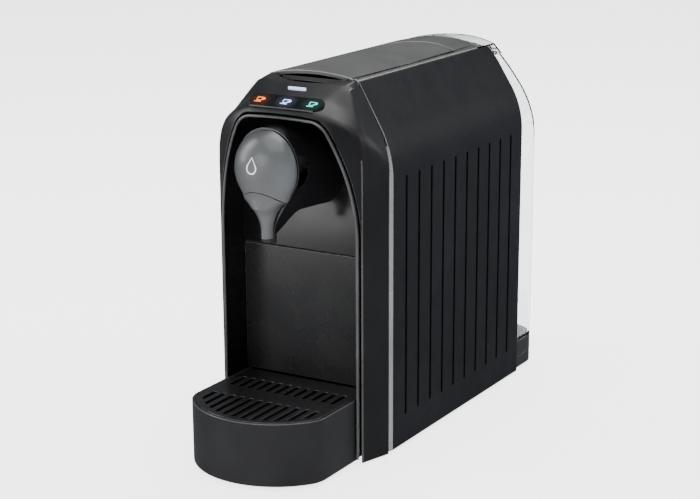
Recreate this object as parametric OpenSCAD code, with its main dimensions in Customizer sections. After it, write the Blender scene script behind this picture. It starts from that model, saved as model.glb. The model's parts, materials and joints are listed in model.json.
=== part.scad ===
// Pod coffee machine with a lever on top, a capsule drawer and drip tray in front, and a water tank behind.
// Millimetres. X runs across, Y from front to back, Z up. The origin is under the middle, on the table.

/* [Body] */
// Overall width
body_w = 120; // [100:1:144]
// Height of the body above its feet
body_h = 245; // [210:1:294]
// Length of the side panels
panel_len = 192; // [180:1:230]
// How far the feet lift the body
foot_h = 2.5; // [2:0.5:6]
// Wall of the outer panels
wall = 2.4; // [2:0.1:2.8]
// Lean of the shoulders from upright, degrees
lean = 32.5; // [28:0.5:36]
// Height over which the shoulders and crown close in
shoulder_h = 63.5; // [58:0.5:72]
// Radius of the crown across the top
crown_r = 140; // [120:1:180]
// Radius of the bend from the sides into the shoulders
shoulder_r = 58; // [48:1:58]

/* [Front frame] */
// How far the frame stands out in front of the side panels
frame_out = 38; // [34:0.5:44]
// Radius of the frame's front in plan
front_r = 104; // [90:1:120]
// Inward taper of the frame's sides, per millimetre forward
side_taper = 0.29; // [0.2:0.01:0.34]
// Radius of the upper brow
brow_r = 70; // [66:1:80]
// Radius of the nose where the brow turns down
nose_r = 18; // [14:0.5:20]
// Width of each arm of the frame, from the body's side to the bay
arm_w = 8.8; // [8:0.1:12]
// Height of the arch's top below the body's top
arch_drop = 22.7; // [20:0.1:26]
// Height of the arch's curved part
arch_h = 57.3; // [50:0.1:70]
// Radius of the arch's sides
arch_side_r = 76; // [70:1:90]
// Radius of the arch's top
arch_top_r = 300; // [200:5:400]
// Radius of the arch's corners
arch_corner_r = 13; // [10:0.5:16]
// Wall of the glossy liner inside the arch
liner_t = 1.5; // [1.2:0.1:2]

/* [Grooves] */
// Grooves on each side
groove_n = 10; // [6:1:11]
// Distance from groove to groove
groove_pitch = 16.9; // [12:0.1:16.9]
// Width of a groove
groove_w = 2; // [1:0.1:3]
// Depth of a groove
groove_depth = 0.9; // [0.5:0.1:1.2]
// Distance from the panel's front edge to the first groove
groove_y = 21.5; // [12:0.5:24]
// Height of the grooves' lower ends
groove_z = 21; // [14:1:40]
// Length of the grooves
groove_len = 159; // [100:1:159]

/* [Control band] */
// Length of the key band
band_l = 53; // [46:1:56]
// Height of the key band along the slope
band_h = 11; // [9:0.5:12]
// Place of the band round the brow, degrees
band_at = 122; // [119:0.5:124]
// How deep the keys sit in the band
key_sink = 0.8; // [0.4:0.1:1.2]
// Thickness of a key
key_t = 2.4; // [2:0.1:3]
// Travel of a key
key_travel = 0.8; // [0.5:0.1:1]
// Gap round each key
key_gap = 0.4; // [0.3:0.05:0.6]
// Length of the status light
light_l = 13; // [8:0.5:18]
// Height of the status light along the slope
light_w = 1.6; // [1.2:0.1:2.4]
// Place of the status light round the brow, degrees
light_at = 110; // [108:0.5:111]

/* [Lever] */
// Half of the lever's width
lever_hw = 29.5; // [26:0.5:30]
// Front edge of the lever behind the panels' front edge
lever_front = 6; // [4:0.5:10]
// Rear end of the lever behind the panels' front edge
lever_back = 152.5; // [140:0.5:158]
// Radius of the lever's rear end in plan
lever_back_r = 47; // [42:1:60]
// Thickness of the lever plate
lever_t = 2.6; // [2.2:0.1:3.2]
// Distance of the axle in front of the lever's rear end
axle_in = 15.5; // [13:0.5:20]
// Depth of the axle below the top
axle_drop = 7; // [6.5:0.1:8]
// Radius of the axle
axle_r = 2; // [1.6:0.1:2.2]
// Length of the crank from axle to pin
crank_r = 16; // [13:0.5:17]
// Opening angle of the lever, degrees
lever_swing = 75; // [60:1:80]
// Radius of a crank pin
pin_r = 2; // [1.6:0.1:2.2]
// Gap round the lever
lever_gap = 0.8; // [0.6:0.1:1.2]
// Radius of the finger slot in plan
finger_r = 39; // [36:1:46]

/* [Brew group] */
// Depth of the brewing axis below the top
brew_drop = 55; // [50:1:58]
// Capsule length held between the plates
capsule_l = 30; // [26:1:34]
// Capsule diameter over its rim
capsule_d = 37; // [34:0.5:38]
// Front face of the carriage behind the panels' front edge
carriage_y = 36; // [34:0.5:44]
// Thickness of the carriage plate
carriage_t = 10; // [8:0.5:12]
// Radius of the guide rods
rod_r = 2.5; // [2:0.1:3]
// Distance of the guide rods from the middle
rod_x = 24.5; // [24:0.1:25]
// Thickness of the injector block
injector_t = 18; // [14:0.5:22]
// Outer radius of the outlet tube
outlet_r = 4.5; // [3.5:0.1:5]

/* [Spout] */
// Radius of the egg-shaped cover
egg_r = 24.4; // [24:0.1:26]
// Height of the cover's centre above the brewing axis
egg_up = 2; // [0:0.5:4]
// Distance of the cover's centre in front of the side panels
egg_out = 43.6; // [41:0.1:46]
// Radius of the neck
neck_r = 4.6; // [4.4:0.1:7]
// Radius of the concave flare above the neck
flare_r = 24; // [20:0.5:28]
// Wall of the spout covers
spout_t = 1.6; // [1.2:0.1:2]

/* [Drawer] */
// How far the drip tray stands out in front of the side panels
tray_out = 94.5; // [86:0.5:110]
// Height of the drip tray
tray_h = 41.6; // [34:0.2:50]
// Depth of the tray and bin behind the panels' front edge
drawer_depth = 100; // [90:1:104]
// How far the radius of the tray's front exceeds half its width
tray_over = 7.5; // [5:0.5:30]
// Radius where the tray's front turns into its sides
tray_corner_r = 20; // [14:0.5:30]
// Wall of the tray
tray_wall = 2.2; // [1.8:0.1:3]
// Top of the drawer front above the body's bottom
drawer_top = 129.3; // [115:0.1:140]
// Thickness of the grate
grate_t = 3; // [2:0.1:4]
// Distance from slot to slot in the grate
slot_pitch = 7; // [6:0.1:9]
// Width of a slot in the grate
slot_w = 3.4; // [2.4:0.1:4]
// Solid band between the two rows of slots
slot_band = 16; // [10:0.5:20]
// Length of the rear row of slots
slot_rear_l = 18; // [12:0.5:22]

/* [Tank] */
// How far the tank stands out behind the side panels
tank_out = 51; // [44:0.5:60]
// Radius of the tank's back in plan
tank_r = 93; // [88:1:110]
// Radius of the corners of the tank and the rear base
tank_corner_r = 14; // [10:0.5:20]
// Wall of the tank
tank_wall = 2; // [1.6:0.1:2.6]
// Height of the rear base
rear_h = 20.5; // [18:0.5:26]
// Height of the lower half of the rear base
sill_h = 9; // [7:0.5:11]
// Depth of the lid below the top
lid_drop = 12; // [10:0.5:16]
// Height of the inward curve at the tank's back
dome_h = 140; // [120:1:160]
// How far the curve comes in at the top
dome_in = 37; // [30:1:42]

/* [Hidden] */
$fn = 64;
eps = 0.01;
// Degrees of arc per straight edge in the curved outlines
arc_step = 6;
// Gap between neighbouring fixed covers
seam = 0.4;
// Gap beside parts that slide past each other
slide_gap = 0.7;
// Radial gap of a shaft that turns or slides in its bore
run_gap = 0.05;

half_w = body_w / 2;
total_l = tray_out + panel_len + tank_out;
row_y = tray_out - total_l / 2;
shoulder_z = body_h - shoulder_h;
shoulder_c = [half_w - shoulder_r, shoulder_z];
crown_c = [0, body_h - crown_r];
panel_corner_r = 17;

// Brow: the upper arc ends nearly level behind the nose, and the nose turns down to upright.
brow_end_y = 1.6;
brow_drop = 4.5;
brow_slope = 8;
brow_c = [brow_end_y + brow_r * sin(brow_slope), body_h - brow_drop - brow_r * cos(brow_slope)];
nose_y = nose_r - frame_out;
nose_c = [nose_y, brow_c.y + sqrt(pow(brow_r - nose_r, 2) - pow(brow_c.x - nose_y, 2))];
brow_blend = atan2(nose_c.y - brow_c.y, nose_c.x - brow_c.x);

// Arch of the bay
arch_hw = half_w - arm_w;
arch_top = body_h - arch_drop;
arch_z = arch_top - arch_h;
arch_side_c = [arch_hw - arch_side_r, arch_z];
arch_top_c = [0, arch_top - arch_top_r];
arch_corner_c = meet(arch_side_c, arch_side_r - arch_corner_r, arch_top_c, arch_top_r - arch_corner_r);
arch_a = heading(arch_corner_c - arch_side_c);
arch_b = heading(arch_corner_c - arch_top_c);
liner_gap = 0.2;
bay_hw = arch_hw - liner_gap - liner_t;
bay_back = -2;
panel_t = 2.5;

// Chassis
chassis_t = 2;
chassis_hw = bay_hw + slide_gap;
floor_t = 2.5;
shelf_z = drawer_top + 1.2;
shelf_t = 2.5;
rear_wall_y = panel_len - 4;
rear_wall_t = 2;
section_gap = wall + seam;
vent_n = 8;
vent_l = 48;
vent_w = 3;
vent_pitch = 7;
vent_z = 60;

// Drawer
tray_hw = bay_hw - 1;
tray_r = tray_hw + tray_over;
bin_hw = tray_hw - 2;
bin_wall = 1.8;
tray_step = 1.5;
drain_pitch = 14;
drain_w = 4;
drain_in = 20;
bin_z = tray_h + seam;
bin_h = drawer_top - 4 - bin_z;
front_t = 2.6;
ledge = 2;
grate_gap = 0.4;
grate_back = bay_back - 1.4;

// Lever and crank
axle_y = lever_back - axle_in;
axle_z = body_h - axle_drop;
lug_x = lever_hw - 3.5;
lug_t = 2.5;
bar_x = lug_x - 4;
bar_t = 3;
crank_a = lever_swing / 2;
pin_y = axle_y + crank_r * sin(crank_a);
pin_z = axle_z - crank_r * cos(crank_a);
pin_low = axle_z - crank_r;
stroke = 2 * crank_r * sin(crank_a);
axle_boss = axle_r + 3;
pin_boss = pin_r + 2;
slot_gap = 0.65;
bar_end = 6;
bar_top = pin_z + pin_r + slot_gap + 2.5;
bar_bottom = pin_low - pin_r - slot_gap - 2.5;
recess_hw = lever_hw + lever_gap;
recess_back_r = lever_back_r + lever_gap + 0.6;
recess_floor_t = 2.2;
recess_floor = bar_top + 1;
recess_wall = 2.2;
cover_hw = 33;
finger_c = finger_r - 5;
lid_arc_r = 50;
lid_arc_c = panel_len - 7 - lid_arc_r;
lid_shelf_y = lid_arc_c + 30;

// Keys
key_w = (band_l - 2 * key_gap) / 3;
stem_r = 1.6;
stem_h = 0.15;
mat_top = key_sink + key_t + stem_h + key_travel + 0.15;
mat_t = 0.5;
switch_top = mat_top + mat_t;
switch_w = 4;
switch_h = 1.2;
board_t = 1;
board_up = 1.5;

// Brew group
brew_z = body_h - brew_drop;
plate_hw = rod_x + rod_r + 0.6;
plate_h = capsule_d + 1;
seat_y = carriage_y + carriage_t;
injector_y = seat_y + capsule_l + 1;
cheek_x = plate_hw + 1.6;
cheek_t = 2.2;
cheek_foot = 9;
cheek_end = injector_y + injector_t + 6;
cheek_top = recess_floor - 18;
rod_plate_y = bay_back + panel_t + 3;
rod_plate_t = 4;
outlet_tip = -8;

// Spout
egg_z = brew_z + egg_up;
rim_in = 4.4;
rim_y = -egg_out - rim_in;
flare_z = egg_z - 40;
neck_end = flare_z - 4;
neck_y = -50;
flare_turn = 56;
chin_y = -38;
chin_r = 19.8;
seam_r = 19.6;
seam_z = egg_z - 32.6;
body_grow = 1.1;
nozzle_r = 3.2;
nozzle_y = rim_y + 3.8;
duct_r = 2.4;

// Tank
tank_hw = half_w - 2.7;
tank_y = panel_len + 2.5;
tank_back = panel_len + tank_out;
tank_top = body_h - lid_drop;
dome_z = body_h - dome_h;
dome_r = (dome_in * dome_in + dome_h * dome_h) / (2 * dome_in);
dome_y = tank_back - tank_r;
valve_r = 8;
valve_y = panel_len + 24;
valve_h = 7;
socket_r = valve_r + 0.6;

// Feet and screws
foot_r = 7;
foot_in = 22;
foot_front = 2;
foot_rear = tank_back - 32;
screw_in = 4.5;
screw_front = drawer_depth + 7;
screw_rear = panel_len - 14;
head_r = 3;
head_t = 1.5;
shank_r = 1.5;
screw_l = 13;
boss_r = 4.5;
boss_h = 12;

// Internals
block_size = [54, 58, 34];
block_y = injector_y + injector_t + 14;
block_z = shelf_z + shelf_t + 6;
fin_n = 7;
fin_w = 3;
fin_pitch = 7;
fin_depth = 5;
pump_x = -22;
pump_y = panel_len - 42;
pump_r = 13;
pump_z = floor_t + 12;
pump_l = 78;
outlet_z = pump_z + pump_l + 12;
coil_w = 40;
coil_d = 42;
coil_z = pump_z + 24;
coil_h = 32;
elbow_r = 3.2;
elbow_z = floor_t + 5;
elbow_l = 8;
mount_r = 17;
mount_h = 7;
meter_x = 16;
meter_y = panel_len - 37;
meter_r = 13;
meter_h = 24;
nipple_r = 3.4;
nipple_l = 6;
meter_in_z = floor_t + 5;
meter_out_z = floor_t + 19;
board_x = chassis_hw - 4;
board_y = drawer_depth + 9;
board_l = 70;
board_z = floor_t + 14;
board_h = 94;
main_board_t = 1.6;
gland_x = -26;
gland_z = 9.5;
gland_r = 5.6;
gland_bore_r = 3.6;
gland_l = 14;
gland_rim = 3.5;
tube_r = 2;
inlet_r = 2.6;
inlet_z = floor_t + 3.2;
suction_r = 2.4;
lead_r = 1.8;
cable_r = 1.2;
tube_y = block_y + block_size.y + 7;

// Colours
c_side = [0.13, 0.13, 0.14];
c_frame = [0.1, 0.1, 0.11];
c_gloss = [0.04, 0.04, 0.05];
c_top = [0.42, 0.42, 0.43];
c_egg = [0.55, 0.56, 0.57];
c_steel = [0.72, 0.73, 0.75];
c_rubber = [0.16, 0.16, 0.17];
c_clear = [0.8, 0.88, 0.92, 0.4];
c_inner = [0.75, 0.75, 0.72];
c_board = [0.08, 0.35, 0.2];

// ---- outlines and helpers ----

function heading(v) = atan2(v.y, v.x);

// Points of an arc from angle a0 to angle a1
function arc(c, r, a0, a1) =
  let (n = max(1, ceil(abs(a1 - a0) / arc_step)))
  [for (i = [0:n]) c + r * [cos(a0 + (a1 - a0) * i / n), sin(a0 + (a1 - a0) * i / n)]];

// The same points on the other side of the middle, in the order that closes an outline
function other_side(pts) = [for (i = [len(pts) - 1:-1:0]) [-pts[i].x, pts[i].y]];

function both_sides(pts) = concat(pts, other_side(pts));

// Crossing of two circles, on the right of the line from a to b
function meet(a, ra, b, rb) =
  let (v = b - a, d = norm(v), m = (d * d + ra * ra - rb * rb) / (2 * d), h = sqrt(ra * ra - m * m))
  a + v * m / d + [-v.y, v.x] * h / d;

// Corner where a shoulder, inset by d, meets the crown, inset by d
function crown_corner(d) =
  let (
    along = [-sin(lean), cos(lean)],
    from = shoulder_c + (shoulder_r - d) * [cos(lean), sin(lean)] - crown_c,
    b = from * along,
    s = sqrt(b * b - from * from + pow(crown_r - d, 2)) - b
  )
  crown_c + from + s * along;

module place() translate([0, row_y, foot_h]) children();

// Extrudes an outline drawn in X and Z from y0 to y1
module along_y(y0, y1) translate([0, y1, 0]) rotate([90, 0, 0]) linear_extrude(y1 - y0) children();

// Extrudes an outline drawn in Y and Z from x0 to x1
module along_x(x0, x1) translate([x0, 0, 0]) rotate([90, 0, 90]) linear_extrude(x1 - x0) children();

module box(x0, x1, y0, y1, z0, z1) translate([x0, y0, z0]) cube([x1 - x0, y1 - y0, z1 - z0]);

module rod_y(r, x, z, y0, y1) translate([x, y0, z]) rotate([-90, 0, 0]) cylinder(r = r, h = y1 - y0);

module rod_x_axis(r, y, z, x0, x1) translate([x0, y, z]) rotate([0, 90, 0]) cylinder(r = r, h = x1 - x0);

module rod_z(r, x, y, z0, z1) translate([x, y, z0]) cylinder(r = r, h = z1 - z0);

module both() {
  children();
  mirror([1, 0, 0]) children();
}

// Cross-section of the body, inset by d
module section(d) {
  corner = crown_corner(d);
  polygon(both_sides(concat(
    [[half_w - d, 0]],
    arc(shoulder_c, shoulder_r - d, 0, lean),
    arc(crown_c, crown_r - d, heading(corner - crown_c), 90)
  )));
}

// Side view of the brow and the upright front, inset by d
module brow_profile(d) polygon(concat(
  [[front_r, 0], [d - frame_out, 0]],
  arc(nose_c, nose_r - d, 180, brow_blend),
  arc(brow_c, brow_r - d, brow_blend, 90),
  [[front_r, brow_c.y + brow_r - d]]
));

// Plan of the front frame, inset by d
module frame_plan(d) intersection() {
  translate([0, front_r - frame_out]) circle(front_r - d, $fn = 128);
  polygon(both_sides([
    [half_w - d - side_taper * (frame_out + 4), -frame_out - 4],
    [half_w - d, 0],
    [half_w - d, front_r]
  ]));
}

// Side view of everything in front of the side panels' front edge
module frame_reach() polygon([
  [-frame_out - 1, -1], [-seam, -1], [-seam, shoulder_z], [lever_front, body_h], [lever_front, body_h + 1],
  [-frame_out - 1, body_h + 1]
]);

// Outline of the bay's arch, inset by d
module arch(d) polygon(both_sides(concat(
  [[arch_hw - d, -1]],
  arc(arch_side_c, arch_side_r - d, 0, arch_a),
  arc(arch_corner_c, arch_corner_r - d, arch_a, arch_b),
  arc(arch_top_c, arch_top_r - d, arch_b, 90)
)));

// Plan with a straight front at y0, straight sides and a curved back, inset by d
module d_plan(hw, y0, y1, r, corner, d) {
  c = [0, y1 - r];
  k = [hw - corner, c.y + sqrt(pow(r - corner, 2) - pow(hw - corner, 2))];
  turn = heading(k - c);
  polygon(both_sides(concat(
    [[hw - d, y0]],
    arc(k, corner - d, 0, turn),
    arc(c, r - d, turn, 90)
  )));
}

// Solid of revolution that rounds the tank's back, inset by d
module rear_dome(d) translate([0, dome_y, 0]) rotate_extrude($fn = 128)
  polygon(concat(
    [[0, 0], [tank_r - d, 0]],
    arc([tank_r - dome_r, dome_z], dome_r - d, 0, asin(dome_h / dome_r)),
    [[0, body_h]]
  ));

module tank_form(d) intersection() {
  linear_extrude(body_h) d_plan(tank_hw, tank_y + d, tank_back, tank_r, tank_corner_r, d);
  along_y(panel_len, tank_back + 1) section(half_w - tank_hw + d);
  rear_dome(d);
}

module tray_plan(d) mirror([0, 1])
  d_plan(tray_hw, -drawer_depth + d, tray_out, tray_r, tray_corner_r, d);

// Puts children on the brow at angle a, with Z out of the surface and Y up the slope
module on_brow(a) translate([0, brow_c.x + brow_r * cos(a), brow_c.y + brow_r * sin(a)])
  rotate([a - 90, 0, 0]) children();

// Stadium with its length across
module stadium(l, h, grow) {
  square([l - h, h + 2 * grow], center = true);
  for (x = [-1, 1]) translate([x * (l - h) / 2, 0]) circle(h / 2 + grow);
}

module lever_plan(grow, back_r) intersection() {
  translate([-lever_hw - grow, lever_front - grow]) square([2 * (lever_hw + grow), lever_back]);
  union() {
    translate([0, lever_back - lever_back_r]) circle(back_r, $fn = 128);
    translate([-half_w, 0]) square([body_w, lever_back - lever_back_r]);
  }
}

// Plan of the recess: the lever with its gap, and the crescent of the finger slot
module recess_plan(grow) {
  lever_plan(lever_gap + grow, recess_back_r + grow);
  intersection() {
    translate([0, finger_c]) circle(finger_r + grow, $fn = 128);
    translate([-recess_hw - grow, -finger_r]) square([2 * (recess_hw + grow), finger_r + finger_c]);
  }
}

// Smooth point on a route of hand-placed points
function bend(p0, p1, p2, p3, t) =
  0.5 * (2 * p1 + (p2 - p0) * t
    + (2 * p0 - 5 * p1 + 4 * p2 - p3) * t * t
    + (3 * p1 - p0 - 3 * p2 + p3) * t * t * t);

function route(p, n) = concat(
  [for (i = [0:len(p) - 2]) for (k = [0:n - 1])
    bend(p[max(i - 1, 0)], p[i], p[i + 1], p[min(i + 2, len(p) - 1)], k / n)],
  [p[len(p) - 1]]
);

function unit(v) = v / norm(v);

// A tube swept along a route, as one closed solid; the route never runs along the vector side_way
module hose(points, r, side_way) {
  sides = 10;
  path = route(points, 5);
  n = len(path);
  way = [for (i = [0:n - 1]) unit(path[min(i + 1, n - 1)] - path[max(i - 1, 0)])];
  ring = [for (i = [0:n - 1])
    let (u = unit(cross(way[i], side_way)), v = cross(way[i], u))
    for (k = [0:sides - 1]) path[i] + r * (cos(360 * k / sides) * u + sin(360 * k / sides) * v)];
  skin = [for (i = [0:n - 2]) for (k = [0:sides - 1])
    let (a = i * sides + k, b = i * sides + (k + 1) % sides)
    [a, a + sides, b + sides, b]];
  polyhedron(ring, concat(
    skin,
    [[for (k = [0:sides - 1]) k]],
    [[for (k = [sides - 1:-1:0]) (n - 1) * sides + k]]
  ), convexity = 6);
}

// ---- base ----

module base_outline() {
  translate([section_gap - half_w, 0]) square([body_w - 2 * section_gap, panel_len]);
  translate([seam - arch_hw, 4 - frame_out / 2]) square([2 * (arch_hw - seam), frame_out / 2]);
  d_plan(tank_hw, panel_len + seam, tank_back, tank_r, tank_corner_r, 0);
  translate([section_gap - half_w + 4, panel_len - 1]) square([body_w - 2 * section_gap - 8, 3]);
}

module screw_places() both() for (y = [screw_front, screw_rear])
  translate([chassis_hw - screw_in, y, 0]) children();

module base_plate() place() color(c_side) difference() {
  union() {
    linear_extrude(floor_t) base_outline();
    difference() {
      linear_extrude(sill_h) d_plan(tank_hw, panel_len + seam, tank_back, tank_r, tank_corner_r, 0);
      translate([0, 0, floor_t]) linear_extrude(sill_h)
        d_plan(tank_hw, panel_len + seam + wall, tank_back, tank_r, tank_corner_r, wall);
    }
  }
  screw_places() {
    translate([0, 0, -eps]) cylinder(r = head_r + 0.3, h = head_t + 0.2);
    cylinder(r = shank_r + 0.3, h = 2 * floor_t);
  }
  lead_cuts();
}

// Ways through the rear base for the gland, the lead and the hose
module lead_cuts() {
  rod_y(gland_r + run_gap, gland_x, gland_z, tank_back - 20, tank_back + 1);
  rod_y(lead_r + 0.8, gland_x, gland_z, panel_len - 1, panel_len + 6);
  rod_y(inlet_r + 0.8, 0, inlet_z, panel_len - 1, panel_len + 6);
}

module feet() place() color(c_rubber) both() for (y = [foot_front, foot_rear])
  translate([half_w - foot_in, y, -foot_h]) cylinder(r = foot_r, h = foot_h);

module base_screws() place() color(c_steel) screw_places() {
  cylinder(r = head_r, h = head_t);
  cylinder(r = shank_r, h = screw_l);
}

module tank_seat() place() color(c_frame) difference() {
  translate([0, 0, sill_h + seam]) linear_extrude(rear_h - sill_h - seam)
    d_plan(tank_hw, panel_len + seam, tank_back, tank_r, tank_corner_r, 0);
  translate([0, 0, sill_h]) linear_extrude(rear_h - sill_h - 2.2)
    d_plan(tank_hw, panel_len + seam + wall, tank_back, tank_r, tank_corner_r, wall);
  rod_z(socket_r, 0, valve_y, sill_h, rear_h + 1);
  lead_cuts();
}

module seat_seal() place() color(c_rubber) translate([0, valve_y, rear_h - valve_h - 3.4]) difference() {
  cylinder(r = socket_r + 2, h = 3);
  translate([0, 0, -1]) cylinder(r = inlet_r + 0.4, h = 5);
}

module cord_gland() place() color(c_rubber) difference() {
  union() {
    rod_y(gland_r, gland_x, gland_z, tank_back - gland_l, tank_back - 0.6);
    rod_y(gland_r + 1, gland_x, gland_z, tank_back - gland_l, tank_back - gland_l + gland_rim);
  }
  rod_y(gland_bore_r, gland_x, gland_z, tank_back - gland_l - 1, tank_back);
}

// ---- inner structure ----

module chassis() place() color(c_inner) {
  difference() {
    intersection() {
      union() {
        both() box(chassis_hw, chassis_hw + chassis_t, 2, rear_wall_y - seam, floor_t, body_h);
        box(-chassis_hw - eps, chassis_hw + eps, 4, rear_wall_y - seam, shelf_z, shelf_z + shelf_t);
      }
      along_y(0, panel_len) section(section_gap);
    }
    translate([-capsule_d / 2 - 2.5, carriage_y - stroke - 1, shelf_z - 1])
      cube([capsule_d + 5, injector_y - carriage_y + stroke, shelf_t + 2]);
    rod_z(tube_r + 2, pump_x, tube_y, shelf_z - 1, shelf_z + 4);
    rod_z(4, board_x - 8, board_y + 10, shelf_z - 1, shelf_z + 4);
  }
  screw_places() difference() {
    translate([0, 0, floor_t]) cylinder(r = boss_r + eps, h = boss_h);
    translate([0, 0, floor_t - 1]) cylinder(r = shank_r + 0.1, h = boss_h + 2);
  }
}

module rear_wall() place() color(c_inner) difference() {
  intersection() {
    along_y(rear_wall_y, rear_wall_y + rear_wall_t) section(section_gap);
    box(-half_w, half_w, 0, panel_len, floor_t, body_h - lid_drop);
  }
  rod_y(inlet_r + 0.8, 0, inlet_z, rear_wall_y - 1, panel_len);
  rod_y(gland_bore_r + 0.6, gland_x, gland_z, rear_wall_y - 1, panel_len);
  for (i = [0:vent_n - 1]) translate([-vent_l / 2, rear_wall_y - 1, vent_z + vent_pitch * i])
    cube([vent_l, rear_wall_t + 2, vent_w]);
}

// ---- outer shell ----

module panel_side() polygon(concat(
  [[0, 0], [panel_len, 0]],
  arc([panel_len - panel_corner_r, body_h - panel_corner_r], panel_corner_r, 0, 90),
  [[lever_front + seam, body_h], [0, shoulder_z]]
));

module groove_cut(i) {
  y = groove_y + i * groove_pitch;
  box(half_w - groove_depth, half_w + 1, y - groove_w / 2, y + groove_w / 2, groove_z, groove_z + groove_len);
  for (z = [groove_z, groove_z + groove_len])
    rod_x_axis(groove_w / 2, y, z, half_w - groove_depth, half_w + 1);
}

module side_panel() difference() {
  intersection() {
    along_y(0, panel_len) difference() {
      section(0);
      section(wall);
      translate([0, -eps]) square([2 * (half_w - wall), 2 * eps], center = true);
    }
    along_x(0, half_w + 1) panel_side();
    box(cover_hw + seam, half_w + 1, -1, panel_len + 1, 0, body_h);
  }
  for (i = [0:groove_n - 1]) groove_cut(i);
}

module side_panel_right() place() color(c_side) side_panel();

module side_panel_left() place() color(c_side) mirror([1, 0, 0]) side_panel();

module frame_form(d) intersection() {
  along_y(-frame_out - 1, front_r - d) section(d);
  along_x(-half_w, half_w) brow_profile(d);
  linear_extrude(body_h) frame_plan(d);
}

module front_frame() place() color(c_frame) difference() {
  intersection() {
    frame_form(0);
    along_x(-half_w, half_w) frame_reach();
  }
  translate([0, 0, wall]) intersection() {
    frame_form(wall);
    box(-half_w, half_w, -frame_out, front_r, 0, body_h);
  }
  along_y(-frame_out - 1, lever_front) arch(0);
  box(-arch_hw, arch_hw, bay_back, lever_front, -1, arch_z);
  translate([0, 0, arch_z]) linear_extrude(body_h) intersection() {
    translate([0, finger_c]) circle(finger_r, $fn = 128);
    translate([-recess_hw, -finger_r]) square([2 * recess_hw, 2 * finger_r]);
  }
  on_brow(band_at) translate([0, 0, -6]) linear_extrude(12) stadium(band_l, band_h, key_gap);
  on_brow(light_at) translate([0, 0, -6]) linear_extrude(12) stadium(light_l, light_w, 0.1);
}

module bay_liner() place() color(c_gloss) difference() {
  intersection() {
    along_y(-frame_out, bay_back + panel_t) arch(liner_gap);
    linear_extrude(body_h) frame_plan(1.2);
  }
  along_y(-frame_out - 1, lever_front) arch(liner_gap + liner_t);
  box(-half_w, half_w, -frame_out - 1, lever_front, -2, floor_t + seam);
}

module bay_panel() place() color(c_gloss) difference() {
  intersection() {
    along_y(bay_back, bay_back + panel_t) arch(liner_gap + liner_t + 0.2);
    box(-half_w, half_w, -9, 9, drawer_top + 0.5, body_h);
  }
  rod_y(outlet_r + 4.5, 0, brew_z, bay_back - 1, bay_back + 4);
}

module top_cover() place() color(c_top) difference() {
  union() {
    intersection() {
      along_y(lever_front, panel_len) section(0);
      difference() {
        box(-cover_hw, cover_hw, lever_front + 1, lid_arc_c + lid_arc_r, bar_top, body_h + 1);
        intersection() {
          along_y(lever_front - 1, panel_len) section(wall);
          box(-cover_hw - 1, cover_hw + 1, 0, panel_len, 0, body_h);
        }
      }
      rod_z(lid_arc_r - seam, 0, lid_arc_c, 0, body_h + 1);
    }
    intersection() {
      along_y(lid_arc_c, rear_wall_y + rear_wall_t) difference() {
        section(wall + 1);
        section(wall + 3);
      }
      box(-cover_hw, cover_hw, lid_shelf_y, rear_wall_y + rear_wall_t, body_h - lid_drop + 1, body_h);
    }
    intersection() {
      along_y(lid_arc_c, rear_wall_y) section(0.5);
      difference() {
        rod_z(lid_arc_r - seam, 0, lid_arc_c, 0, body_h);
        rod_z(lid_arc_r - seam - 2, 0, lid_arc_c, 0, body_h);
      }
      box(-cover_hw, cover_hw, lid_shelf_y, panel_len, body_h - lid_drop + 4, body_h);
    }
    intersection() {
      translate([0, 0, recess_floor]) linear_extrude(body_h) difference() {
        recess_plan(recess_wall);
        recess_plan(0);
      }
      along_y(-frame_out, panel_len) section(0.2);
      union() {
        along_x(-half_w, half_w) brow_profile(wall + 0.3);
        box(-half_w, half_w, lever_front + 1, panel_len, 0, body_h);
      }
      union() {
        box(-half_w, half_w, -frame_out, axle_y + 6, 0, body_h);
        box(-half_w, half_w, axle_y, panel_len, axle_z - 0.5, body_h);
      }
    }
    translate([0, 0, recess_floor]) linear_extrude(recess_floor_t) intersection() {
      recess_plan(0.1);
      translate([-half_w, -finger_r]) square([body_w, finger_r + axle_y - crank_r - 9]);
    }
  }
  translate([0, 0, recess_floor + recess_floor_t]) linear_extrude(body_h) recess_plan(0);
  linear_extrude(body_h + 1) intersection() {
    recess_plan(0);
    translate([-half_w, axle_y - crank_r - 9]) square([body_w, panel_len]);
  }
  box(-capsule_d / 2 - 1.5, capsule_d / 2 + 1.5, carriage_y + 4, injector_y, 0, body_h);
  rod_x_axis(axle_r, axle_y, axle_z, -half_w, half_w);
}

// ---- lever ----

module lever_plate() place() color(c_top) difference() {
  union() {
    intersection() {
      along_y(0, panel_len) difference() {
        section(0);
        section(lever_t);
      }
      linear_extrude(body_h + 1) lever_plan(0, lever_back_r);
      union() {
        box(-half_w, half_w, 0, axle_y, 0, body_h);
        rod_x_axis(axle_in + 1, axle_y, axle_z, -half_w, half_w);
      }
    }
    intersection() {
      along_y(0, panel_len) section(lever_t - 0.2);
      box(-lever_hw + 7, lever_hw - 7, lever_front, lever_front + 4, body_h - 7, body_h);
    }
    both() intersection() {
      along_y(0, panel_len) section(lever_t - 0.2);
      along_x(lug_x - lug_t, lug_x) lug_outline();
    }
  }
  rod_x_axis(axle_r + run_gap, axle_y, axle_z, -half_w, half_w);
  rod_x_axis(pin_r, pin_y, pin_z, -half_w, half_w);
}

module lug_outline() {
  polygon([
    [axle_y - axle_boss, axle_z - 1], [pin_y - pin_boss, pin_z], [pin_y + pin_boss, pin_z],
    [axle_y + axle_boss, axle_z], [axle_y + axle_boss, body_h], [axle_y - axle_boss, body_h]
  ]);
  translate([axle_y, axle_z]) circle(axle_boss);
  translate([pin_y, pin_z]) circle(pin_boss);
}

module lever_axle() place() color(c_steel)
  rod_x_axis(axle_r, axle_y, axle_z, -recess_hw - recess_wall + 0.2, recess_hw + recess_wall - 0.2);

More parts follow.
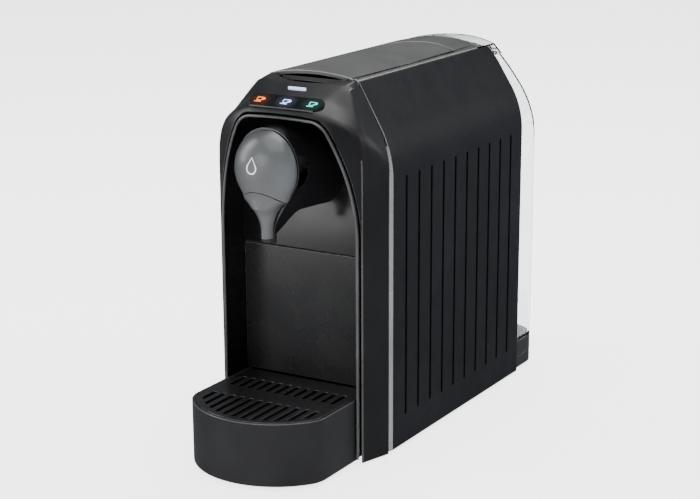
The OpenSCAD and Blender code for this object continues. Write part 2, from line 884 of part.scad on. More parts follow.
module crank_pins() place() color(c_steel) both() rod_x_axis(pin_r, pin_y, pin_z, bar_x - bar_t - 0.4, lug_x);

// ---- keys and light ----

module key(i) place() color(c_gloss) on_brow(band_at) {
  x0 = -band_l / 2 + i * (key_w + key_gap);
  translate([0, 0, -key_sink - key_t]) linear_extrude(key_t) intersection() {
    stadium(band_l, band_h, 0);
    translate([x0, -band_h]) square([key_w, 2 * band_h]);
  }
  translate([x0 + key_w / 2, 0, -key_sink - key_t - stem_h]) cylinder(r = stem_r, h = stem_h + eps);
}

module key_left() key(0);

module key_middle() key(1);

module key_right() key(2);

module key_mat() place() color(c_rubber) on_brow(band_at) translate([0, 0, -mat_top - 0.1 - mat_t])
  linear_extrude(mat_t) square([band_l, band_h - 2], center = true);

module key_switches() place() color(c_steel) on_brow(band_at) for (i = [-1:1])
  translate([i * (key_w + key_gap) - switch_w / 2, -switch_w / 2, -switch_top - 0.1 - switch_h])
    cube([switch_w, switch_w, switch_h]);

module control_board() place() color(c_board) on_brow(band_at)
  translate([0, board_up, -switch_top - 0.1 - switch_h - board_t])
    linear_extrude(board_t) square([band_l - 4, band_h - 3], center = true);

module status_light() place() color(c_clear) on_brow(light_at) translate([0, 0, -2.2]) linear_extrude(2)
  stadium(light_l, light_w, 0);

// ---- spout ----

module neck_form(d) intersection() {
  translate([0, neck_y, 0]) rotate_extrude() polygon(concat(
    [[0, neck_end], [neck_r - d, neck_end]],
    arc([neck_r + flare_r, flare_z], flare_r + d, 180, 180 - flare_turn),
    [[0, flare_z + (flare_r + d) * sin(flare_turn)]]
  ));
  rod_z(chin_r - d, 0, chin_y, neck_end - 1, egg_z);
}

module egg_shell() difference() {
  translate([0, -egg_out, egg_z]) sphere(egg_r);
  translate([0, -egg_out, egg_z]) sphere(egg_r - spout_t);
  box(-half_w, half_w, rim_y, 0, 0, body_h);
}

module spout_cover() place() color(c_egg) difference() {
  egg_shell();
  rod_y(seam_r + 0.15, 0, seam_z, -frame_out - 60, 0);
}

module spout_neck_cover() place() color(c_egg) intersection() {
  union() {
    egg_shell();
    difference() {
      neck_form(0);
      neck_form(spout_t);
      translate([0, -egg_out, egg_z]) sphere(egg_r - spout_t);
      rod_z(neck_r - spout_t, 0, neck_y, neck_end - 1, flare_z);
      box(-half_w, half_w, rim_y, 0, 0, body_h);
    }
  }
  rod_y(seam_r - 0.15, 0, seam_z, -frame_out - 60, 0);
}

module spout_body() place() color(c_gloss) difference() {
  union() {
    rod_y(egg_r + body_grow, 0, egg_z, rim_y + 0.3, bay_back - 0.2);
    box(-neck_r, neck_r, rim_y + 0.3, rim_y + 10, neck_end + 1, egg_z - 10);
  }
  rod_y(egg_r + body_grow - 2, 0, egg_z, rim_y + 2.3, bay_back);
  rod_z(nozzle_r + 0.2, 0, nozzle_y, 0, brew_z);
}

module spout_duct() place() color(c_gloss) difference() {
  union() {
    rod_y(outlet_r + 3, 0, brew_z, nozzle_y - 1, bay_back + panel_t + 2);
    rod_z(nozzle_r, 0, nozzle_y, neck_end + 2, brew_z);
  }
  rod_y(outlet_r + 0.3, 0, brew_z, nozzle_y + 1, bay_back + panel_t + 3);
  rod_z(duct_r - 0.8, 0, nozzle_y, neck_end + 1, brew_z);
}

module nozzle() place() color(c_rubber) difference() {
  rod_z(nozzle_r, 0, nozzle_y, neck_end - 4, neck_end + 2);
  rod_z(duct_r - 0.8, 0, nozzle_y, neck_end - 5, neck_end + 3);
}

// ---- brew group ----

module brew_frame() place() color(c_frame) difference() {
  union() {
    both() {
      box(cheek_x, cheek_x + cheek_t, rod_plate_y, cheek_end, shelf_z + shelf_t, cheek_top);
      box(cheek_x, cheek_x + cheek_foot, rod_plate_y + 2, cheek_end,
        shelf_z + shelf_t, shelf_z + shelf_t + 2.4);
    }
    box(-cheek_x - eps, cheek_x + eps, rod_plate_y, rod_plate_y + rod_plate_t,
      brew_z - plate_h / 2, cheek_top);
  }
  rod_y(outlet_r + 3.4, 0, brew_z, -1, rod_plate_y + 9);
  for (x = [-rod_x, rod_x]) rod_y(rod_r, x, brew_z, rod_plate_y - 1, rod_plate_y + 9);
}

module guide_rods() place() color(c_steel) for (x = [-rod_x, rod_x])
  rod_y(rod_r, x, brew_z, rod_plate_y, injector_y + 10);

module carriage() place() color(c_frame) difference() {
  union() {
    box(-plate_hw, plate_hw, carriage_y, seat_y, brew_z - plate_h / 2, brew_z + plate_h / 2);
    both() box(bar_x - bar_t - 1, bar_x + 1, carriage_y, seat_y, brew_z + plate_h / 2 - eps, bar_bottom);
    rod_y(outlet_r, 0, brew_z, outlet_tip, seat_y - 1);
  }
  for (x = [-rod_x, rod_x]) rod_y(rod_r + run_gap, x, brew_z, carriage_y - 1, seat_y + 1);
  rod_y(outlet_r - 2, 0, brew_z, outlet_tip - 1, seat_y + 1);
  rod_y(capsule_d / 2, 0, brew_z, seat_y - 4, seat_y + 1);
}

module capsule_seal() place() color(c_rubber) difference() {
  rod_y(capsule_d / 2, 0, brew_z, seat_y - 4, seat_y - 1.5);
  rod_y(capsule_d / 2 - 4, 0, brew_z, seat_y - 5, seat_y);
}

module drawbars() place() color(c_steel) both() difference() {
  box(bar_x - bar_t, bar_x, carriage_y, pin_y + bar_end, bar_bottom, bar_top);
  along_x(bar_x - bar_t - 1, bar_x + 1) union() {
    translate([pin_y - pin_r - slot_gap, pin_low]) square([2 * (pin_r + slot_gap), pin_z - pin_low]);
    for (z = [pin_low, pin_z]) translate([pin_y, z]) circle(pin_r + slot_gap);
  }
}

module injector_block() place() color(c_inner) difference() {
  union() {
    translate([0.2 - cheek_x, injector_y, brew_z - plate_h / 2])
      cube([2 * (cheek_x - 0.2), injector_t, plate_h]);
    rod_y(5, 0, brew_z, injector_y + injector_t - eps, injector_y + injector_t + 6);
  }
  for (x = [-rod_x, rod_x]) rod_y(rod_r, x, brew_z, injector_y - 1, injector_y + 10);
  rod_y(tube_r + 0.4, 0, brew_z, injector_y + 4, injector_y + injector_t + 7);
  rod_y(capsule_d / 2 - 2, 0, brew_z, injector_y - 1, injector_y + 3);
}

module injector_seal() place() color(c_rubber) difference() {
  rod_y(capsule_d / 2, 0, brew_z, injector_y - 1.2, injector_y);
  rod_y(capsule_d / 2 - 3, 0, brew_z, injector_y - 2, injector_y + 1);
}

module injector_needles() place() color(c_steel) for (a = [90, 210, 330])
  translate([8 * cos(a), injector_y + 3, brew_z + 8 * sin(a)])
    rotate([90, 0, 0]) cylinder(r1 = 1.4, r2 = 0.3, h = 6);

module thermoblock() place() color(c_steel) difference() {
  union() {
    translate([-block_size.x / 2, block_y, block_z]) cube(block_size);
    for (x = [-1, 1], y = [8, block_size.y - 8])
      rod_z(3, x * (block_size.x / 2 - 7), block_y + y, shelf_z + shelf_t, block_z + eps);
  }
  for (i = [0:fin_n - 1])
    translate([-block_size.x / 2 - 1, block_y + fin_w + fin_pitch * i + 2,
      block_z + block_size.z - fin_depth])
      cube([block_size.x + 2, fin_w, fin_depth + 1]);
}

module thermostats() place() color(c_gloss) both()
  rod_x_axis(6, block_y + block_size.y / 2, block_z + 12, block_size.x / 2, block_size.x / 2 + 8);

module pump() place() color(c_steel) {
  rod_z(pump_r, pump_x, pump_y, pump_z, pump_z + pump_l);
  box(pump_x - coil_w / 2, pump_x + coil_w / 2, pump_y - coil_d / 2, pump_y + coil_d / 2,
    coil_z, coil_z + coil_h);
  rod_z(4, pump_x, pump_y, pump_z + pump_l - eps, outlet_z);
  rod_z(elbow_r, pump_x, pump_y, elbow_z, pump_z + eps);
  rod_x_axis(elbow_r, pump_y, elbow_z, pump_x, pump_x + elbow_l);
}

module pump_mounts() place() color(c_rubber) {
  difference() {
    rod_z(mount_r, pump_x, pump_y, floor_t, pump_z);
    rod_z(elbow_r + 0.5, pump_x, pump_y, floor_t - 1, pump_z + 1);
    box(pump_x, pump_x + mount_r + 1, pump_y - elbow_r - 0.5, pump_y + elbow_r + 0.5,
      floor_t - 1, pump_z + 1);
  }
  difference() {
    rod_z(mount_r, pump_x, pump_y, pump_z + pump_l, pump_z + pump_l + mount_h);
    rod_z(4.2, pump_x, pump_y, pump_z + pump_l - 1, pump_z + pump_l + mount_h + 1);
  }
}

module flow_meter() place() color(c_inner) {
  rod_z(meter_r, meter_x, meter_y, floor_t, floor_t + meter_h);
  rod_y(nipple_r, meter_x, meter_in_z, meter_y + meter_r - 2, meter_y + meter_r + nipple_l);
  rod_y(nipple_r, meter_x, meter_out_z, meter_y - meter_r - nipple_l, meter_y - meter_r + 2);
}

module main_board() place() color(c_board)
  box(board_x, board_x + main_board_t, board_y, board_y + board_l, board_z, board_z + board_h);

module board_parts() place() color(c_gloss) {
  translate([board_x - 16, board_y + 6, board_z + 6]) cube([16, 20, 26]);
  translate([board_x - 12, board_y + 34, board_z + 20]) cube([12, 20, 26]);
  for (i = [0:2]) rod_x_axis(5, board_y + 12 + 13 * i, board_z + 64, board_x - 14, board_x);
}

// ---- hoses and leads held inside ----

module inlet_hose() place() color(c_rubber) hose([
  [0, valve_y, rear_h - valve_h - 3.4], [0, valve_y, rear_h - valve_h - 5], [0, valve_y - 3, inlet_z + 0.4],
  [0, valve_y - 9, inlet_z], [0, rear_wall_y, inlet_z], [1.5, rear_wall_y - 4, inlet_z + 0.3],
  [8, rear_wall_y - 7.5, inlet_z + 1], [meter_x - 0.6, meter_y + meter_r + 10.6, meter_in_z],
  [meter_x, meter_y + meter_r + nipple_l + 0.7, meter_in_z]
], inlet_r, [1, 0, 0]);

module pump_hose() place() color(c_rubber) hose([
  [meter_x, meter_y - meter_r - nipple_l - 0.5, meter_out_z],
  [meter_x, meter_y - meter_r - 9.5, meter_out_z - 0.3],
  [meter_x - 4, meter_y - meter_r - 13, floor_t + 11], [3, meter_y - meter_r - 7, floor_t + 5],
  [-3, pump_y - 3, elbow_z - 0.6], [pump_x + 13, pump_y, elbow_z], [pump_x + elbow_l + 0.4, pump_y, elbow_z]
], suction_r, [1, 1, -1]);

module pressure_tube() place() color(c_clear) hose([
  [pump_x, pump_y, outlet_z + 0.3], [pump_x, pump_y, outlet_z + 4], [pump_x, pump_y + 4, outlet_z + 11],
  [pump_x, pump_y + 16, outlet_z + 17], [pump_x, tube_y - 2, shelf_z - 6], [pump_x, tube_y, shelf_z + 3],
  [pump_x, tube_y, block_z + 6], [pump_x + 1, tube_y - 1, block_z + 14],
  [pump_x + 2, block_y + block_size.y + 3.4, block_z + 18],
  [pump_x + 2, block_y + block_size.y + 0.3, block_z + 18.4]
], tube_r, [1, 0, 0]);

module delivery_tube() place() color(c_clear) hose([
  [0, block_y - 0.3, block_z + 26], [0, block_y - 4, block_z + 27], [0, block_y - 6, block_z + 36],
  [0, injector_y + injector_t + 9, brew_z - 2],
  [0, injector_y + injector_t + 5, brew_z], [0, injector_y + 6, brew_z]
], tube_r, [1, 0, 0]);

module control_cable() place() color(c_gloss) hose([
  [board_x - 2, board_y + 14, board_z + board_h], [board_x - 6, board_y + 12, board_z + board_h + 6],
  [board_x - 8, board_y + 10, shelf_z], [board_x - 7, board_y + 4, shelf_z + 16],
  [cheek_x + 8, injector_y, shelf_z + 30], [cheek_x + 8, carriage_y, brew_z - 10],
  [cheek_x + 4, 8, brew_z + 22], [cheek_x - 4, -6, arch_top + 4], [14, -13, arch_top + 5.5],
  [8, -17, arch_top + 4]
], cable_r, [0.31, 0.17, 0.93]);

module mains_lead() place() color(c_gloss) hose([
  [gland_x, tank_back - gland_l - 0.4, gland_z], [gland_x, tank_back - 23, gland_z],
  [gland_x, rear_wall_y + 6, gland_z],
  [gland_x, rear_wall_y - 6, gland_z], [gland_x + 14, rear_wall_y - 9, gland_z + 24],
  [6, rear_wall_y - 12, 60],
  [22, rear_wall_y - 14, 62], [board_x - 10, rear_wall_y - 18, 58], [board_x - 4, board_y + 60, floor_t + 46],
  [board_x - 2.4, board_y + 58, floor_t + 30]
], lead_r, [0.31, 0.17, 0.93]);

// ---- tank ----

module tank() place() color(c_clear) difference() {
  intersection() {
    tank_form(0);
    box(-half_w, half_w, 0, tank_back + 1, rear_h + seam, tank_top);
  }
  intersection() {
    tank_form(tank_wall);
    box(-half_w, half_w, 0, tank_back + 1, rear_h + seam + tank_wall, body_h);
  }
  rod_z(valve_r - 2 + eps, 0, valve_y, 0, rear_h + 5);
}

module tank_valve() place() color(c_gloss) difference() {
  union() {
    rod_z(valve_r, 0, valve_y, rear_h - valve_h + 0.6, rear_h + seam);
    rod_z(valve_r - 2, 0, valve_y, rear_h, rear_h + seam + tank_wall + 4);
  }
  rod_z(valve_r - 3.4, 0, valve_y, rear_h - valve_h + 2.4, rear_h + 12);
  rod_z(2.4, 0, valve_y, 0, rear_h);
}

module valve_poppet() place() color(c_rubber) {
  rod_z(valve_r - 4, 0, valve_y, rear_h - valve_h + 2.6, rear_h - valve_h + 4.6);
  rod_z(1.6, 0, valve_y, rear_h - valve_h + 0.8, rear_h + 3);
}

module lid_form(d) intersection() {
  along_y(lid_arc_c, tank_back) section(0.5 + d);
  rear_dome(d);
  box(-half_w, half_w, lid_arc_c, tank_back, tank_top - 1, body_h);
}

module tank_lid() place() color(c_clear) difference() {
  intersection() {
    lid_form(0);
    box(-half_w, half_w, lid_arc_c, tank_back, tank_top + seam, body_h + 1);
  }
  intersection() {
    lid_form(tank_wall);
    box(-half_w, half_w, lid_arc_c - 1, tank_back, tank_top - 2, body_h);
  }
  rod_z(lid_arc_r, 0, lid_arc_c, 0, body_h + 1);
  both() box(cover_hw - 0.2, half_w, 0, panel_len + seam, 0, body_h + 1);
}

// ---- drawer ----

module drip_tray() place() color(c_frame) difference() {
  linear_extrude(tray_h) tray_plan(0);
  translate([0, 0, -1]) linear_extrude(floor_t + tray_step)
    translate([-half_w, -frame_out / 2]) square([body_w, total_l]);
  translate([0, 0, floor_t + tray_step + tray_wall - 1]) linear_extrude(tray_h) tray_plan(tray_wall + ledge);
  translate([0, 0, tray_h - grate_t]) linear_extrude(tray_h) tray_plan(tray_wall);
}

module grate_plan(d) intersection() {
  tray_plan(tray_wall + grate_gap + d);
  translate([-half_w, -tray_out]) square([body_w, tray_out + grate_back]);
}

module slot_row(y0, y1) {
  n = floor((tray_hw - tray_wall - slot_w) / slot_pitch - 0.5);
  for (i = [-n - 1:n]) translate([(i + 0.5) * slot_pitch, 0]) {
    translate([-slot_w / 2, y0 + slot_w / 2]) square([slot_w, y1 - y0 - slot_w]);
    for (y = [y0 + slot_w / 2, y1 - slot_w / 2]) translate([0, y]) circle(slot_w / 2);
  }
}

module drip_grate() place() color(c_frame)
translate([0, 0, tray_h - grate_t]) linear_extrude(grate_t) difference() {
  grate_plan(0);
  slot_row(-frame_out, slot_rear_l - frame_out);
  intersection() {
    slot_row(-tray_out, -frame_out - slot_band);
    grate_plan(4.5);
  }
}

module capsule_bin() place() color(c_inner) difference() {
  box(-bin_hw, bin_hw, bay_back + front_t, drawer_depth - 1, bin_z, bin_z + bin_h);
  box(-bin_hw + bin_wall, bin_hw - bin_wall, bay_back + front_t + bin_wall, drawer_depth - 1 - bin_wall,
    bin_z + bin_wall, bin_z + bin_h + 1);
  for (i = [-2:2]) translate([i * drain_pitch - drain_w / 2, drain_in, bin_z - 1])
    cube([drain_w, drawer_depth - 2 * drain_in, bin_wall + 2]);
}

module drawer_front() place() color(c_frame)
  box(-bay_hw + 0.3, bay_hw - 0.3, bay_back, bay_back + front_t, bin_z, drawer_top);

// ---- the nodes ----

base_plate();
feet();
base_screws();
tank_seat();
chassis();
rear_wall();
side_panel_right();
side_panel_left();
front_frame();
bay_liner();
bay_panel();
top_cover();
lever_plate();
lever_axle();
crank_pins();
key_left();
key_middle();
key_right();
key_mat();
key_switches();
control_board();
status_light();
spout_cover();
spout_neck_cover();
spout_body();
spout_duct();
nozzle();
brew_frame();
guide_rods();
carriage();
drawbars();
capsule_seal();
injector_block();
injector_seal();
injector_needles();
thermoblock();
thermostats();
pump();
pump_mounts();
flow_meter();
main_board();
board_parts();
inlet_hose();
pump_hose();
pressure_tube();
delivery_tube();
control_cable();
mains_lead();
cord_gland();
seat_seal();
tank();
tank_valve();
valve_poppet();
tank_lid();
drip_tray();
drip_grate();
capsule_bin();
drawer_front();
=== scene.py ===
import json
import math
import numpy as np

import bmesh
import bpy
from mathutils import Matrix, Vector


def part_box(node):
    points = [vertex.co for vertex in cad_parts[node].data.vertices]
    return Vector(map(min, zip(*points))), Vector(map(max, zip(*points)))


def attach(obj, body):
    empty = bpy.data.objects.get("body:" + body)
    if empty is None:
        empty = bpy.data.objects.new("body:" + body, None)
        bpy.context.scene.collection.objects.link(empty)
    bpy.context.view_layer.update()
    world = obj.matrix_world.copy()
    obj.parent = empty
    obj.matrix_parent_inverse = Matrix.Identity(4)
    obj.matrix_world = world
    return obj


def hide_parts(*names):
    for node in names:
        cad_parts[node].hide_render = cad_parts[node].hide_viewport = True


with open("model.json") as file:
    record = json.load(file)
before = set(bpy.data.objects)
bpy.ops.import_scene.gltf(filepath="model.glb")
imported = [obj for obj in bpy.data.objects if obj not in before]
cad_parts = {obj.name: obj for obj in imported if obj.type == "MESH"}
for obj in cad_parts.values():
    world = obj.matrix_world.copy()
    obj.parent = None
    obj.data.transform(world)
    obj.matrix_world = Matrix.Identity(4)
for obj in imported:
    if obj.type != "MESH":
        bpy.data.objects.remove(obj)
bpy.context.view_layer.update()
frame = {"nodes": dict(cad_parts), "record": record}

# ---- Camera ----
# A long lens at counter height, turned to show the front and the right-hand side.

camera = bpy.data.objects.new("camera", bpy.data.cameras.new("camera"))
bpy.context.scene.collection.objects.link(camera)
bpy.context.scene.camera = camera
camera.data.sensor_width = 36
camera.data.lens = 90.83
camera.data.shift_x = -0.0397
camera.data.shift_y = 0.0694
camera.location = (0.58949, -1.01356, 0.42414)
camera.rotation_euler = (math.radians(73.64), 0, math.radians(29.82))

# ---- Studio ----
# A white table top that runs on to the horizon, a pale room, and large soft lamps.


def new_material(name):
    material = bpy.data.materials.new(name)
    material.use_nodes = True
    tree = material.node_tree
    return material, tree, tree.nodes["Principled BSDF"]


def shader_node(tree, kind, **settings):
    node = tree.nodes.new(kind)
    for key, value in settings.items():
        setattr(node, key, value)
    return node


def noise_from(tree, source, scale, detail=2.0):
    noise = shader_node(tree, "ShaderNodeTexNoise")
    noise.inputs["Scale"].default_value = scale
    noise.inputs["Detail"].default_value = detail
    tree.links.new(source, noise.inputs["Vector"])
    return noise.outputs["Fac"]


def between(tree, source, low, high, start=0.35, stop=0.65):
    ramp = shader_node(tree, "ShaderNodeMapRange")
    ramp.inputs["From Min"].default_value = start
    ramp.inputs["From Max"].default_value = stop
    ramp.inputs["To Min"].default_value = low
    ramp.inputs["To Max"].default_value = high
    tree.links.new(source, ramp.inputs["Value"])
    return ramp.outputs["Result"]


def colours_between(tree, source, dark, light):
    ramp = shader_node(tree, "ShaderNodeValToRGB")
    ramp.color_ramp.elements[0].position = 0.3
    ramp.color_ramp.elements[1].position = 0.7
    ramp.color_ramp.elements[0].color = (*dark, 1)
    ramp.color_ramp.elements[1].color = (*light, 1)
    tree.links.new(source, ramp.inputs["Fac"])
    return ramp.outputs["Color"]


def table_top():
    material, tree, shader = new_material("table_white")
    place = shader_node(tree, "ShaderNodeTexCoord").outputs["Object"]
    tone = colours_between(tree, noise_from(tree, place, 3), (0.86, 0.86, 0.86), (0.9, 0.9, 0.9))
    tree.links.new(tone, shader.inputs["Base Color"])
    shader.inputs["Roughness"].default_value = 0.6
    shader.inputs["Emission Color"].default_value = (1, 1, 1, 1)
    shader.inputs["Emission Strength"].default_value = 3.0
    reach = 6.0
    shape = bmesh.new()
    bmesh.ops.create_grid(shape, x_segments=8, y_segments=8, size=reach)
    mesh = bpy.data.meshes.new("table_top")
    shape.to_mesh(mesh)
    table = bpy.data.objects.new("table_top", mesh)
    table.data.materials.append(material)
    bpy.context.scene.collection.objects.link(table)
    table.visible_glossy = False
    return material


def room():
    world = bpy.data.worlds.new("room")
    bpy.context.scene.world = world
    world.use_nodes = True
    tree = world.node_tree
    seen = tree.nodes["Background"]
    seen.inputs["Color"].default_value = (1, 1, 1, 1)
    seen.inputs["Strength"].default_value = 1.0
    dim = shader_node(tree, "ShaderNodeBackground")
    dim.inputs["Color"].default_value = (0.9, 0.95, 1, 1)
    dim.inputs["Strength"].default_value = 0.16
    path = shader_node(tree, "ShaderNodeLightPath")
    mix = shader_node(tree, "ShaderNodeMixShader")
    tree.links.new(path.outputs["Is Camera Ray"], mix.inputs["Fac"])
    tree.links.new(dim.outputs["Background"], mix.inputs[1])
    tree.links.new(seen.outputs["Background"], mix.inputs[2])
    tree.links.new(mix.outputs["Shader"], tree.nodes["World Output"].inputs["Surface"])


def lamp(name, place, aim, size, watts, sheen_only=False):
    light = bpy.data.lights.new(name, "AREA")
    light.shape = "RECTANGLE"
    light.size, light.size_y = size
    light.energy = watts
    holder = bpy.data.objects.new(name, light)
    holder.location = place
    holder.rotation_euler = (Vector(aim) - Vector(place)).to_track_quat("-Z", "Y").to_euler()
    bpy.context.scene.collection.objects.link(holder)
    holder.visible_camera = False
    holder.visible_diffuse = not sheen_only


table_white = table_top()
room()
lamp("top_softbox", (0.0, 0.5, 1.5), (0, 0.05, 0.2), (1.2, 1.2), 16)
lamp("left_strip", (-1.1, -0.5, 0.75), (0, -0.05, 0.18), (0.35, 1.1), 9)
lamp("front_fill", (-0.35, -1.7, 0.7), (0, -0.1, 0.12), (0.9, 0.7), 7)
lamp("rear_glow", (1.5, 1.3, 0.9), (0, 0.1, 0.12), (0.8, 0.9), 6)
lamp("bay_sheen", (-0.42, -0.62, 0.05), (-0.02, -0.07, 0.16), (0.3, 0.16), 0.6, True)
lamp("floor_wash", (0.4, -0.4, 2.4), (0, 0, 0), (2.5, 2.5), 45)

# ---- Side panels ----
# Two satin black mouldings that wrap from the base over the shoulders to the top trim.
# Each has ten shallow upright grooves, coloured darker as painted shade, and a thin chamfer along its front
# edge, coloured much lighter as a painted highlight.

MM = 0.001
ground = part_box("base_plate")[0].z
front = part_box("side_panel_right")[0].y
half_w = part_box("side_panel_right")[1].x / MM
panel_len = (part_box("side_panel_right")[1].y - front) / MM
body_h = (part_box("lever_plate")[1].z - ground) / MM
wall = 2.4
seam = 0.4
lean = 32.5
shoulder_r = 58
crown_r = 140
shoulder_c = (half_w - shoulder_r, body_h - 63.5)
crown_c = (0, body_h - crown_r)
lever_front = 6
cover_hw = 33


def arc(centre, radius, start, stop, step=2.0):
    count = max(2, math.ceil(abs(stop - start) / step))
    turns = [math.radians(start + (stop - start) * i / count) for i in range(count + 1)]
    return [(centre[0] + radius * math.cos(a), centre[1] + radius * math.sin(a)) for a in turns]


def both_sides(points):
    return points + [(-x, y) for x, y in reversed(points) if x > 0.001]


def heading(point, centre):
    return math.degrees(math.atan2(point[1] - centre[1], point[0] - centre[0]))


def crown_corner(inset):
    along = Vector((-math.sin(math.radians(lean)), math.cos(math.radians(lean))))
    out = Vector((math.cos(math.radians(lean)), math.sin(math.radians(lean))))
    start = Vector(shoulder_c) + (shoulder_r - inset) * out - Vector(crown_c)
    b = start.dot(along)
    reach = math.sqrt(b * b - start.length_squared + (crown_r - inset) ** 2) - b
    return Vector(crown_c) + start + reach * along


def flank(inset, x_end):
    """The body's outline from its bottom edge to x_end, on the shoulder's slope or on the crown,
    inset by a wall."""
    side = [(half_w - inset, 0)] + arc(shoulder_c, shoulder_r - inset, 0, lean)
    corner = crown_corner(inset)
    if x_end > corner.x:
        foot = side[-1]
        share = (foot[0] - x_end) / (foot[0] - corner.x)
        return side + [(x_end, foot[1] + (corner.y - foot[1]) * share)]
    top = math.degrees(math.acos(x_end / (crown_r - inset)))
    return side + arc(crown_c, crown_r - inset, heading(corner, crown_c), top, 1.0)


def section(inset):
    return both_sides(flank(inset, 0))


def link_shape(shape, name="shape"):
    bmesh.ops.recalc_face_normals(shape, faces=shape.faces)
    mesh = bpy.data.meshes.new(name)
    shape.to_mesh(mesh)
    shape.free()
    piece = bpy.data.objects.new(name, mesh)
    bpy.context.scene.collection.objects.link(piece)
    return piece


def prism(outline, axis, low, high, turn=None):
    """A solid of the outline's shape, drawn along x, y or z from low to high."""
    shape = bmesh.new()
    rings = []
    for at in (low, high):
        spots = {"x": [(at, u, v) for u, v in outline], "y": [(u, at, v) for u, v in outline],
                 "z": [(u, v, at) for u, v in outline]}[axis]
        rings.append([shape.verts.new(spot) for spot in spots])
    shape.faces.new(rings[0])
    shape.faces.new(rings[1])
    for i in range(len(outline)):
        k = (i + 1) % len(outline)
        shape.faces.new((rings[0][i], rings[0][k], rings[1][k], rings[1][i]))
    if turn:
        bmesh.ops.transform(shape, matrix=turn, verts=shape.verts)
    return link_shape(shape)


def block(x0, x1, y0, y1, z0, z1):
    return prism([(x0, y0), (x1, y0), (x1, y1), (x0, y1)], "z", z0, z1)


def baked(piece):
    """Turns the piece's modifiers into plain mesh."""
    bpy.context.view_layer.update()
    graph = bpy.context.evaluated_depsgraph_get()
    mesh = bpy.data.meshes.new_from_object(piece.evaluated_get(graph))
    piece.modifiers.clear()
    piece.data = mesh
    return piece


def combine(piece, operation, *tools):
    for tool in tools:
        join = piece.modifiers.new("join", "BOOLEAN")
        join.operation = operation
        join.solver = "EXACT"
        join.object = tool
        baked(piece)
        bpy.data.objects.remove(tool)
    return piece


def cut(piece, *tools):
    return combine(piece, "DIFFERENCE", *tools)


def keep(piece, *tools):
    return combine(piece, "INTERSECT", *tools)


def add(piece, *tools):
    return combine(piece, "UNION", *tools)


def tag(piece, index, test):
    for face in piece.data.polygons:
        if test(face):
            face.material_index = index


def finish_piece(piece, name, body, stands_for, materials, edge=0.4, steps=3, sharp=32, paint=()):
    """Rounds the edges, giving them the last material, which for most pieces is a lighter copy painted on as
    a highlight;
    smooths the shading, moves millimetres to the frame and fixes the piece to its body."""
    piece.name = piece.data.name = name
    tag(piece, 0, lambda face: True)
    piece.data.materials.clear()
    for material in materials:
        piece.data.materials.append(material)
    if edge:
        rounding = piece.modifiers.new("rounding", "BEVEL")
        rounding.width = edge
        rounding.segments = steps
        rounding.limit_method = "ANGLE"
        rounding.angle_limit = math.radians(28)
        rounding.use_clamp_overlap = False
        # The rounded edges take the last material, for most pieces a lighter copy: a painted highlight.
        rounding.material = len(materials) - 1
        baked(piece)
    for index, test in paint:
        tag(piece, index, test)
    piece.data.transform(Matrix.Translation((0, front, ground)) @ Matrix.Scale(MM, 4))
    piece.data.shade_smooth()
    piece.data.set_sharp_from_angle(angle=math.radians(sharp))
    weighted = piece.modifiers.new("weighted", "WEIGHTED_NORMAL")
    weighted.keep_sharp = True
    baked(piece)
    piece.data.name = name
    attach(piece, body)
    if stands_for:
        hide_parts(*stands_for)
    return piece


def plastic(name, colour, roughness, grain=0.5, depth=0.02, specular=0.5, coat=0.0, patch=0.2):
    """Moulded plastic: fine spark-eroded grain, slow changes of sheen and faint handling marks."""
    material, tree, shader = new_material(name)
    place = shader_node(tree, "ShaderNodeTexCoord").outputs["Object"]
    fine = noise_from(tree, place, 1 / (grain * MM), 3)
    slow = noise_from(tree, place, 22, 4)
    dark = tuple(c * (1 - patch) for c in colour)
    light = tuple(c * (1 + patch) for c in colour)
    tree.links.new(colours_between(tree, slow, dark, light), shader.inputs["Base Color"])
    rub = noise_from(tree, place, 60, 5)
    tree.links.new(between(tree, rub, roughness * 0.86, roughness * 1.14), shader.inputs["Roughness"])
    bump = shader_node(tree, "ShaderNodeBump")
    bump.inputs["Strength"].default_value = 1.0
    bump.inputs["Distance"].default_value = depth * MM
    tree.links.new(fine, bump.inputs["Height"])
    tree.links.new(bump.outputs["Normal"], shader.inputs["Normal"])
    shader.inputs["Specular IOR Level"].default_value = specular
    shader.inputs["Coat Weight"].default_value = coat
    shader.inputs["Coat Roughness"].default_value = 0.08
    return material


side_black = plastic("side_black", (0.006, 0.006, 0.008), 0.44, 0.35, 0.01, 0.36)
# A lighter copy of the panel's black for the rounded edges: a painted highlight.
side_edge_highlight = plastic("side_edge_highlight", (0.05, 0.05, 0.055), 0.3, 0.6, 0.006, 0.6)
# A darker copy of the panel's black, put on the groove faces as painted shade.
groove_shade = plastic("groove_shade", (0.0015, 0.0015, 0.002), 0.6, 0.35, 0.02, 0.12)
# A much lighter copy of the panel's black, put on the front chamfer as a painted highlight.
chamfer_highlight = plastic("chamfer_highlight", (0.17, 0.17, 0.18), 0.3, 0.6, 0.004, 0.7)


def node_group(name, **inputs):
    """A Geometry Nodes tree with a mesh in, a mesh out and named sizes."""
    tree = bpy.data.node_groups.new(name, "GeometryNodeTree")
    tree.interface.new_socket("Mesh", in_out="INPUT", socket_type="NodeSocketGeometry")
    for title, value in inputs.items():
        kind = "NodeSocketInt" if isinstance(value, int) else "NodeSocketFloat"
        if isinstance(value, tuple):
            kind = "NodeSocketVector"
        if isinstance(value, bpy.types.Object):
            kind = "NodeSocketObject"
        if isinstance(value, bpy.types.Material):
            kind = "NodeSocketMaterial"
        tree.interface.new_socket(title, in_out="INPUT", socket_type=kind)
    tree.interface.new_socket("Mesh", in_out="OUTPUT", socket_type="NodeSocketGeometry")
    return tree, tree.nodes.new("NodeGroupInput"), tree.nodes.new("NodeGroupOutput")


def run_nodes(piece, tree, **inputs):
    """Puts the tree on the piece with its sizes, and turns the result into plain mesh."""
    runner = piece.modifiers.new(tree.name, "NODES")
    runner.node_group = tree
    for item in tree.interface.items_tree:
        if item.in_out == "INPUT" and item.name in inputs:
            runner[item.identifier] = inputs[item.name]
    return baked(piece)


